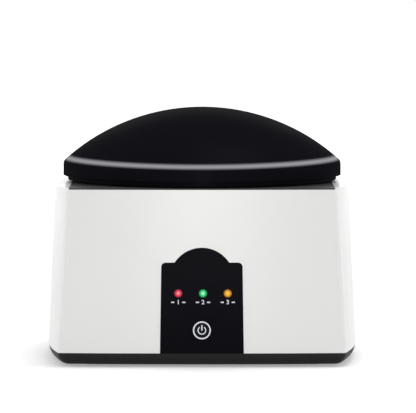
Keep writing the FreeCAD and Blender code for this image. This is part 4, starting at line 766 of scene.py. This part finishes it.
def seal_mesh(finger):
    """The top of one seal, petal by petal, each a fan of rows from its tip to the port."""
    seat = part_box("finger_seal_" + finger)[1].z / MM
    shape = bmesh.new()
    half = math.pi / PETALS
    tip = SLIT_WIDTH / 2 / math.sin(half)
    for petal in range(PETALS):
        middle = 2 * math.pi * petal / PETALS + PETAL_START
        rows = []
        for step in range(PETAL_ROWS + 1):
            row = []
            for column in range(PETAL_COLUMNS + 1):
                side = column / PETAL_COLUMNS * 2 - 1
                turn = middle + side * half
                share = step / PETAL_ROWS
                edge = port_reach(turn, SEAL_LAP)
                reach = edge - tip
                clamp = port_reach(turn, 0.0) / edge
                height = petal_height(min(share / clamp, 1.0), side)
                x = tip * math.cos(middle) + reach * share * math.cos(turn)
                y = tip * math.sin(middle) + reach * share * math.sin(turn)
                row.append(shape.verts.new(port_point(x, y, PORTS[finger], seat + height)))
            rows.append(row)
        for before, after in zip(rows, rows[1:]):
            for a, b, c, d in zip(before, before[1:], after[1:], after):
                shape.faces.new((a, d, c, b))
    bmesh.ops.remove_doubles(shape, verts=shape.verts, dist=WELD)
    return mesh_of(shape, "slit_seal_" + finger)


# Silicone from a polished tool: deep black, with small sharp highlights on its bulges.
black_silicone = moulded(
    "black_silicone_gloss", "#0b0a0c", 0.14, gloss=0.26, grain=3.0, depth=0.006
)
for finger in PORTS:
    seal = new_object("slit_seal_" + finger, seal_mesh(finger))
    wall = seal.modifiers.new("wall", "SOLIDIFY")
    wall.thickness = SEAL_WALL * MM
    wall.offset = -1.0
    soft = seal.modifiers.new("soft", "SUBSURF")
    soft.levels = soft.render_levels = 1
    settle(seal, "finger_seal_" + finger, black_silicone, SEAL_SHARP_ANGLE)

# --- Centre cap ---------------------------------------------------------------
# Black ABS knob, moulded in one: a flat ring round a low dome, with a crescent pressed in for a
# fingertip and a skirt that drops into the hole of the tray.
BEND_STEPS = 6
WAY_RADIUS = 1.0  # m; a profile is swept along this circle, from as far inside it
lathe_tree, given = new_tree("turned_profile", Steps="Int", Material="Material")
rounding = add(
    lathe_tree, "GeometryNodeInputNamedAttribute", {"Name": "rounding"}, data_type="FLOAT"
)
line = add(lathe_tree, "GeometryNodeMeshToCurve", {0: given["Geometry"]})
bent = add(
    lathe_tree,
    "GeometryNodeFilletCurve",
    {0: line, "Count": BEND_STEPS, "Radius": rounding, "Limit Radius": True},
    mode="POLY",
)
way = add(
    lathe_tree,
    "GeometryNodeCurvePrimitiveCircle",
    {"Resolution": given["Steps"], "Radius": WAY_RADIUS},
)
level_way = add(lathe_tree, "GeometryNodeSetCurveNormal", {0: way}, mode="Z_UP")
swept = add(lathe_tree, "GeometryNodeCurveToMesh", {0: level_way, "Profile Curve": bent})
closing(lathe_tree, swept, given["Material"])


def turned(name, profile, material, steps):
    """Turned piece about Z. The profile's corners are radius, height and rounding, in mm."""
    places = [(radius * MM - WAY_RADIUS, -height * MM, 0) for radius, height, _ in profile]
    seed = points_mesh(places, [(row, row + 1) for row in range(len(places) - 1)])
    values = seed.attributes.new("rounding", "FLOAT", "POINT")
    values.data.foreach_set("value", [corner[2] * MM for corner in profile])
    return grown(name, lathe_tree, seed, Steps=steps, Material=material)


cap_low, cap_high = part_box("centre_cap")
CAP_RADIUS = cap_high.x / MM
CAP_TOP = cap_high.z / MM
CAP_UNDER = cap_low.z / MM
CAP_EDGE = PLATE_TOP + 0.2  # underside of the ring, just clear of the tray
CAP_STEPS = 180
CAP_SHARP_ANGLE = 35.0
RING_WIDTH = 3.6
RING_SIDE = 2.6  # height of its outer side
RING_TOP = 3.2  # and of its inner edge
GROOVE_DEPTH = 0.6  # between ring and dome
SKIRT_OUTSIDE = 19.5
SKIRT_INSIDE = 17.7
CROWN_WALL = 1.8
FOOT_WALL = 1.0
DOME_STEPS = 32
DOME_FOOT = CAP_EDGE + 3.6
DOME_HALF = CAP_RADIUS - RING_WIDTH
DOME_RISE = CAP_TOP - DOME_FOOT
DOME_RADIUS = (DOME_HALF**2 + DOME_RISE**2) / (2 * DOME_RISE)
profile = [
    (0, CAP_TOP - CROWN_WALL, 0),
    (SKIRT_INSIDE, DOME_FOOT - FOOT_WALL, 1.5),
    (SKIRT_INSIDE, CAP_UNDER, 0),
    (SKIRT_OUTSIDE, CAP_UNDER, 0.4),
    (SKIRT_OUTSIDE, CAP_EDGE, 0.3),
    (CAP_RADIUS, CAP_EDGE, 0.3),
    (CAP_RADIUS, CAP_EDGE + RING_SIDE, 0.8),
    (DOME_HALF + 0.6, CAP_EDGE + RING_TOP, 0.5),
    (DOME_HALF + 0.3, CAP_EDGE + RING_TOP - GROOVE_DEPTH, 0.2),
]
for step in range(DOME_STEPS + 1):
    radius = DOME_HALF * (1 - step / DOME_STEPS)
    height = CAP_TOP - DOME_RADIUS + math.sqrt(DOME_RADIUS**2 - radius**2)
    profile.append((radius, height, 0))
# Polished ABS, a little worn by hands: black, with bright but not sharp highlights.
cap_abs = moulded("black_abs_gloss_cap", "#0e0d10", 0.2, gloss=0.14, grain=6.0, depth=0.004)
cap = turned("cap_ring_and_dome", profile, cap_abs, CAP_STEPS)

# The crescent is deepest along its own middle, and runs out towards its ends.
GRIP_RADIUS = 14.6
GRIP_HALF_WIDTH = 3.0
GRIP_DEPTH = 1.6
GRIP_MIDDLE = math.radians(225)
GRIP_HALF_TURN = math.radians(52)
for vert in cap.data.vertices:
    radius = math.hypot(vert.co.x, vert.co.y) / MM
    turn = (math.atan2(vert.co.y, vert.co.x) - GRIP_MIDDLE + math.pi) % (2 * math.pi) - math.pi
    ends = 1 - (turn / GRIP_HALF_TURN) ** 2
    width = GRIP_HALF_WIDTH * math.sqrt(max(ends, 0.0))
    off = abs(radius - GRIP_RADIUS)
    if off < width and vert.co.z / MM > DOME_FOOT:
        vert.co.z -= GRIP_DEPTH * MM * (1 - (off / width) ** 2) * ends**0.5
settle(cap, "centre_cap", cap_abs, CAP_SHARP_ANGLE)

# --- Lid ----------------------------------------------------------------------
# Black ABS dome, moulded in a polished tool and pin-hinged at the back. A satin liner is clipped
# inside it, and a silicone ring in the liner rests on the deck.

# Polished black, with a painted highlight on the rounded shoulder: a pale grey, rougher line that
# rises a little towards the sides.
SHOULDER_HIGHLIGHT_HEIGHT = 126.5  # middle of the line, at the front
SHOULDER_HIGHLIGHT_RISE = 2.0
SHOULDER_HIGHLIGHT_HALF = 2.3
LID_RADIUS = 90.3
LID_WAVE = 5.0
lid_abs, tree = new_material("black_abs_polished_satin_shoulder")
place = add(tree, "ShaderNodeTexCoord").outputs["Object"]
axes = add(tree, "ShaderNodeSeparateXYZ", {0: place}).outputs
across = 1 / (LID_RADIUS * MM)
reach = add(tree, "ShaderNodeMath", {0: axes["X"], 1: across}, operation="MULTIPLY")
square = add(tree, "ShaderNodeMath", {0: reach, 1: 2.0}, operation="POWER")
low, high = SHOULDER_HIGHLIGHT_HEIGHT * MM, (SHOULDER_HIGHLIGHT_HEIGHT + SHOULDER_HIGHLIGHT_RISE) * MM
middle = add(tree, "ShaderNodeMapRange", {"Value": square, "To Min": low, "To Max": high})
off = add(tree, "ShaderNodeMath", {0: axes["Z"], 1: middle}, operation="SUBTRACT")
away = add(tree, "ShaderNodeMath", {0: off}, operation="ABSOLUTE")
highlight_band = add(
    tree,
    "ShaderNodeMapRange",
    {"Value": away, "From Max": SHOULDER_HIGHLIGHT_HALF * MM, "To Min": 1.0, "To Max": 0.0},
    interpolation_type="SMOOTHSTEP",
)
# The pale grey (satin) is the painted highlight along the shoulder.
black, satin = colour("#100f14"), colour("#9a999e")
base = add(tree, "ShaderNodeMix", {0: highlight_band, 1: black, 2: satin}, data_type="RGBA")
rough = add(tree, "ShaderNodeMapRange", {"Value": highlight_band, "To Min": 0.25, "To Max": 0.5})
texture = add(tree, "ShaderNodeTexNoise", {"Vector": place, "Scale": 1 / (LID_WAVE * MM)})
polish = {"Specular IOR Level": 0.0, "Coat Weight": 0.016, "Coat Roughness": 0.3}
surfaced(tree, base, rough, texture, 0.003, polish)
dressed("lid_shell", lid_abs, edge=0.25)
# Satin ABS: as dark as the dome, with a wide, weak sheen.
liner_abs = moulded(
    "black_abs_satin", "#100f13", 0.42, gloss=0.0, grain=1.0, depth=0.01, coat=0.02
)
# Plain silicone: black and matt.
seal_silicone = moulded("matt_black_silicone", "#131214", 0.6, gloss=0.03, grain=1.0, depth=0.01)
dressed("lid_liner", liner_abs, edge=0.2)
dressed("lid_seal", seal_silicone, edge=0.4)

# --- Fascia -------------------------------------------------------------------
# Black ABS panel snapped into the window of the shell. Plain numbers and dashes under the lamps
# are pad-printed on it in white ink.

# Polished like the lid: an even black that mirrors only faintly.
panel_abs = moulded(
    "black_abs_gloss_panel", "#100f14", 0.2, gloss=0.0, grain=5.0, depth=0.003, coat=0.005
)
# Printing ink: a flat, slightly bluish white.
white_ink = moulded("white_printing_ink", "#e2e4ec", 0.5, gloss=0.3, grain=0.3, depth=0.004)
INK = 0.009  # its thickness, mm
OUTSIDE = -0.2  # a place before the machine, m
dressed("control_panel", panel_abs, edge=0.25)


def front_of(node):
    """Finds the front face of a node: from x and z in mm to y in metres."""
    shape = merged(node)
    tree = BVHTree.FromBMesh(shape)
    shape.free()

    def at(x, z):
        start = Vector((x * MM, OUTSIDE, z * MM))
        hit, *_ = tree.ray_cast(start, Vector((0, 1, 0)))
        return hit.y

    return at


def printed(name, node, loops, front):
    """Ink on a front face: a face for each loop of x and z in mm, anticlockwise in front."""
    shape = bmesh.new()
    for loop in loops:
        corners = [shape.verts.new((x * MM, front(x, z) - INK * MM, z * MM)) for x, z in loop]
        shape.faces.new(corners)
    settle(new_object(name, mesh_of(shape, name)), node, white_ink, instead=False)


def block(x, z, half_width, half_height):
    left, right, low, high = x - half_width, x + half_width, z - half_height, z + half_height
    return [(left, low), (right, low), (right, high), (left, high)]


NUMBER_HEIGHT = 2.7
FONT_SHARE = 1.42  # size of the font over the height of its numbers
INK_SPREAD = 0.07
LABEL_HEIGHT = 41.4  # middle of the numbers over the table
DASH = (1.0, 0.4)  # half length and half height
DASH_MIDDLE = 3.5  # from the middle of the number
panel_front = front_of("control_panel")
lamps = {}
for row, hue in enumerate(("red", "green", "amber"), start=1):
    low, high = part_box("lens_" + hue)
    middle = (low.x + high.x) / 2 / MM
    lamps[hue] = (low, high, middle)
    letters = bpy.data.curves.new("number", "FONT")
    letters.body = str(row)
    letters.align_x = "CENTER"
    letters.align_y = "CENTER"
    letters.size = NUMBER_HEIGHT * FONT_SHARE * MM
    letters.offset = INK_SPREAD * MM
    text = new_object("number_%d" % row, letters)
    made = plain_mesh(text)
    bpy.data.objects.remove(text)
    for vert in made.vertices:
        x, z = middle + vert.co.x / MM, LABEL_HEIGHT + vert.co.y / MM
        vert.co = (x * MM, panel_front(x, z) - INK * MM, z * MM)
    settle(new_object("number_%d" % row, made), "control_panel", white_ink, instead=False)
    dashes = [block(middle + off, LABEL_HEIGHT, *DASH) for off in (-DASH_MIDDLE, DASH_MIDDLE)]
    printed("dashes_%d" % row, "control_panel", dashes, panel_front)

# --- Lamps --------------------------------------------------------------------
# Domed acrylic lenses in red, green and amber, pressed into the fascia. Behind each stands a 3 mm
# diode with a tinted epoxy dome, soldered to the control board.

# A lit diffusing lens is pale in its middle, then of its full colour, and dark at its rim. The
# epoxy of the diode, the last colour here, is clear: deep, with a small sharp highlight.
LAMP_COLOURS = {
    "red": ("#ffac98", "#f03450", "#4e0f20", "#cc3a34"),
    "green": ("#c4ffda", "#30dc7a", "#0e4a2b", "#37b35a"),
    "amber": ("#ffe02a", "#f2a312", "#503215", "#d9952c"),
}
CORE_RADIUS = 1.3 * MM  # here the pale middle has ended
RING_RADII = (1.1 * MM, 2.7 * MM)  # from here the rim sets in, and here it is full
LIT = 0.95
LENS_GRAIN = 0.4
LENS_STEPS = 48
LENS_SHARP_ANGLE = 40.0
SIDE_DROP = 0.45  # of the lens's side below its crown, mm
BEND_DROP = 0.12  # and of the bend between them
BEND_SHARE = 0.7  # of the radius, where it bends
FORWARD = Matrix.Rotation(math.radians(90), 4, "X")  # what stood up faces the front
for hue, (low, high, middle) in lamps.items():
    acrylic, tree = new_material(hue + "_acrylic_lens")
    place = add(tree, "ShaderNodeTexCoord").outputs["Object"]
    centre = (-middle * MM, 0, -(low.z + high.z) / 2)
    centred = add(tree, "ShaderNodeMapping", {"Vector": place, "Location": centre})
    flat = add(tree, "ShaderNodeMapping", {"Vector": centred, "Scale": (1, 0, 1)})
    off = add(tree, "ShaderNodeVectorMath", {0: flat}, operation="LENGTH")
    inner = add(tree, "ShaderNodeMapRange", {"Value": off, "From Max": CORE_RADIUS})
    start, end = RING_RADII
    outer = add(tree, "ShaderNodeMapRange", {"Value": off, "From Min": start, "From Max": end})
    *lens_codes, epoxy_code = LAMP_COLOURS[hue]
    core, ring, edge = (colour(code) for code in lens_codes)
    lit = add(tree, "ShaderNodeMix", {0: inner, 1: core, 2: ring}, data_type="RGBA")
    glow = add(tree, "ShaderNodeMix", {0: outer, 1: lit, 2: edge}, data_type="RGBA")
    grain = add(tree, "ShaderNodeTexNoise", {"Vector": place, "Scale": 1 / (LENS_GRAIN * MM)})
    rough = add(tree, "ShaderNodeMapRange", {"Value": grain, "To Min": 0.22, "To Max": 0.32})
    surface = add(
        tree,
        "ShaderNodeBsdfPrincipled",
        {
            "Base Color": edge,
            "Emission Color": glow,
            "Emission Strength": LIT,
            "Roughness": rough,
            "Specular IOR Level": 0.2,
        },
    )
    add(tree, "ShaderNodeOutputMaterial", {"Surface": surface})
    radius = (high.x - low.x) / 2 / MM
    front, back = -low.y / MM, -high.y / MM
    profile = [
        (0, back, 0),
        (radius, back, 0.2),
        (radius, front - SIDE_DROP, 0.5),
        (radius * BEND_SHARE, front - BEND_DROP, 0.8),
        (0, front, 0),
    ]
    lens = turned("domed_lens_" + hue, profile, acrylic, LENS_STEPS)
    seat = Matrix.Translation((middle * MM, 0, (low.z + high.z) / 2))
    lens.data.transform(seat @ FORWARD)
    settle(lens, "lens_" + hue, acrylic, LENS_SHARP_ANGLE)
    epoxy = moulded(hue + "_tinted_epoxy", epoxy_code, 0.12, gloss=0.5, grain=2.0, depth=0.002)
    dressed("led_" + hue, epoxy, edge=0.5)

# --- Power button and switch --------------------------------------------------
# Black ABS button with a shallow dish, printed with a ring and the usual power sign. Its stem
# pushes the acetal plunger of a moulded tact switch on the control board.

# Polished like the fascia, with a little more shine in its dish.
button_abs = moulded(
    "black_abs_gloss_button", "#131217", 0.2, gloss=0.0, grain=4.0, depth=0.003, coat=0.03
)
dressed("power_button", button_abs, edge=0.3)
button_low, button_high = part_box("power_button")
BUTTON_HEIGHT = (button_low.z + button_high.z) / 2 / MM
RING = (4.82, 5.65)  # inner and outer radius of the printed ring, mm
RING_STEPS = 96
SIGN = (2.1, 2.72)
SIGN_STEPS = 48
SIGN_GAP = math.radians(36)  # half of the gap in the sign, at its top
SIGN_BAR = (0.38, 1.75)  # half width and half height
SIGN_BAR_MIDDLE = 1.55  # over the middle of the button


def ink_arc(inner, outer, start, end, steps):
    """Outlines of the faces of an arc about the button's middle, clockwise from its top."""
    turns = [start + (end - start) * step / steps for step in range(steps + 1)]
    return [
        [
            (radius * math.sin(turn), BUTTON_HEIGHT + radius * math.cos(turn))
            for radius, turn in ((outer, a), (inner, a), (inner, b), (outer, b))
        ]
        for a, b in zip(turns, turns[1:])
    ]


sign = ink_arc(*RING, 0.0, 2 * math.pi, RING_STEPS)
sign += ink_arc(*SIGN, SIGN_GAP, 2 * math.pi - SIGN_GAP, SIGN_STEPS)
sign.append(block(0.0, BUTTON_HEIGHT + SIGN_BAR_MIDDLE, *SIGN_BAR))
printed("power_sign", "power_button", sign, front_of("power_button"))
# Moulded nylon: a half-matt black.
switch_nylon = moulded("black_nylon_switch", "#202021", 0.5, grain=0.6, depth=0.008)
# Moulded acetal: a milky white, smooth and a little waxy.
acetal = moulded("white_acetal", "#d9d8d2", 0.4, grain=1.0, depth=0.004)
dressed("push_switch", switch_nylon, edge=0.25)
dressed("switch_plunger", acetal, edge=0.2)

# --- Circuit boards -----------------------------------------------------------
# Glass-epoxy laminate with parts soldered on. The control board is screwed on upright behind the
# fascia, and the power board lies at the back on posts of the pan.

# Copper under green solder resist shows as paler, slightly raised lines, which run both ways in
# blocks. Real tracks are 0.5 mm apart, and are drawn this far apart so that they show.
TRACK_PITCH = 4.4
BLOCK_TRACKS = 2


def board_finish(name, turn):
    """Green resist over tracks, for a board that is turned so from lying flat."""
    material, tree = new_material(name)
    place = add(tree, "ShaderNodeTexCoord").outputs["Object"]
    level = add(tree, "ShaderNodeMapping", {"Vector": place, "Rotation": turn})
    cells = add(
        tree,
        "ShaderNodeTexVoronoi",
        {"Vector": level, "Scale": 1 / (BLOCK_TRACKS * TRACK_PITCH * MM)},
        distance="CHEBYCHEV",
    )
    rows = add(tree, "ShaderNodeMath", {0: cells, 1: 2.0 * BLOCK_TRACKS}, operation="MULTIPLY")
    saw = add(tree, "ShaderNodeMath", {0: rows, 1: 1.0}, operation="PINGPONG")
    track = add(tree, "ShaderNodeMapRange", {"Value": saw, "From Min": 0.55, "From Max": 0.65})
    resist, copper = colour("#0f4a28"), colour("#2c7a45")
    base = add(tree, "ShaderNodeMix", {0: track, 1: resist, 2: copper}, data_type="RGBA")
    rough = add(tree, "ShaderNodeMapRange", {"Value": track, "To Min": 0.3, "To Max": 0.4})
    surfaced(tree, base, rough, track, 0.03)
    return material


upright_board = board_finish("green_resist_upright", (math.radians(90), 0, 0))
flat_board = board_finish("green_resist_flat", (0, 0, 0))
dressed("control_board", upright_board, edge=0.1)
dressed("board_screws", zinc_steel, edge=0.3)
# Moulding epoxy: a dull, faintly grainy black.
chip_epoxy = moulded("black_moulding_epoxy", "#19191a", 0.55, gloss=0.3, grain=0.3, depth=0.006)
dressed("controller_chip", chip_epoxy, edge=0.2)
dressed("power_board", flat_board, edge=0.1)
# PVC sleeve, shrunk on with heat: smooth and shiny, with a slight wave.
sleeve = moulded("blue_black_pvc_sleeve", "#20253f", 0.3, gloss=0.5, grain=3.0, depth=0.01)
dressed("capacitors", sleeve, edge=0.5)
# Filled polyester and polyamide, moulded: strong colours, half matt.
relay_case = moulded("blue_polyester_case", "#1f5aa0", 0.4, grain=0.8, depth=0.006)
dressed("relay", relay_case, edge=0.4)
dressed("buzzer", chip_epoxy, edge=0.4)
green_polyamide = moulded("green_polyamide", "#2a7d46", 0.45, grain=0.8, depth=0.008)
dressed("terminal_block", green_polyamide, edge=0.3)
socket_case = moulded("black_polyester_socket", "#1a1a1b", 0.4, grain=0.8, depth=0.006)
dressed("dc_socket", socket_case, edge=0.25)

# --- Inner leads --------------------------------------------------------------
# A pair of leads to the heater and a flat three-way lead between the boards, each end crimped
# into a moulded socket that is pushed onto its pins.

# Extruded silicone rubber: a strong red with a soft shine.
red_silicone = moulded("red_silicone_cover", "#a81f1f", 0.45, grain=1.0, depth=0.008)
# Extruded PVC: a greyish white, a little shinier.
white_pvc = moulded("white_pvc_cover", "#d2d2cc", 0.4, grain=1.0, depth=0.006)
# Nylon with no pigment: a warm, milky white.
natural_nylon = moulded("natural_nylon", "#ddd9cc", 0.45, grain=0.6, depth=0.006)
dressed("heater_leads", red_silicone, edge=0)
dressed("panel_leads", white_pvc, edge=0)
dressed("lead_sockets", natural_nylon, edge=0.25)
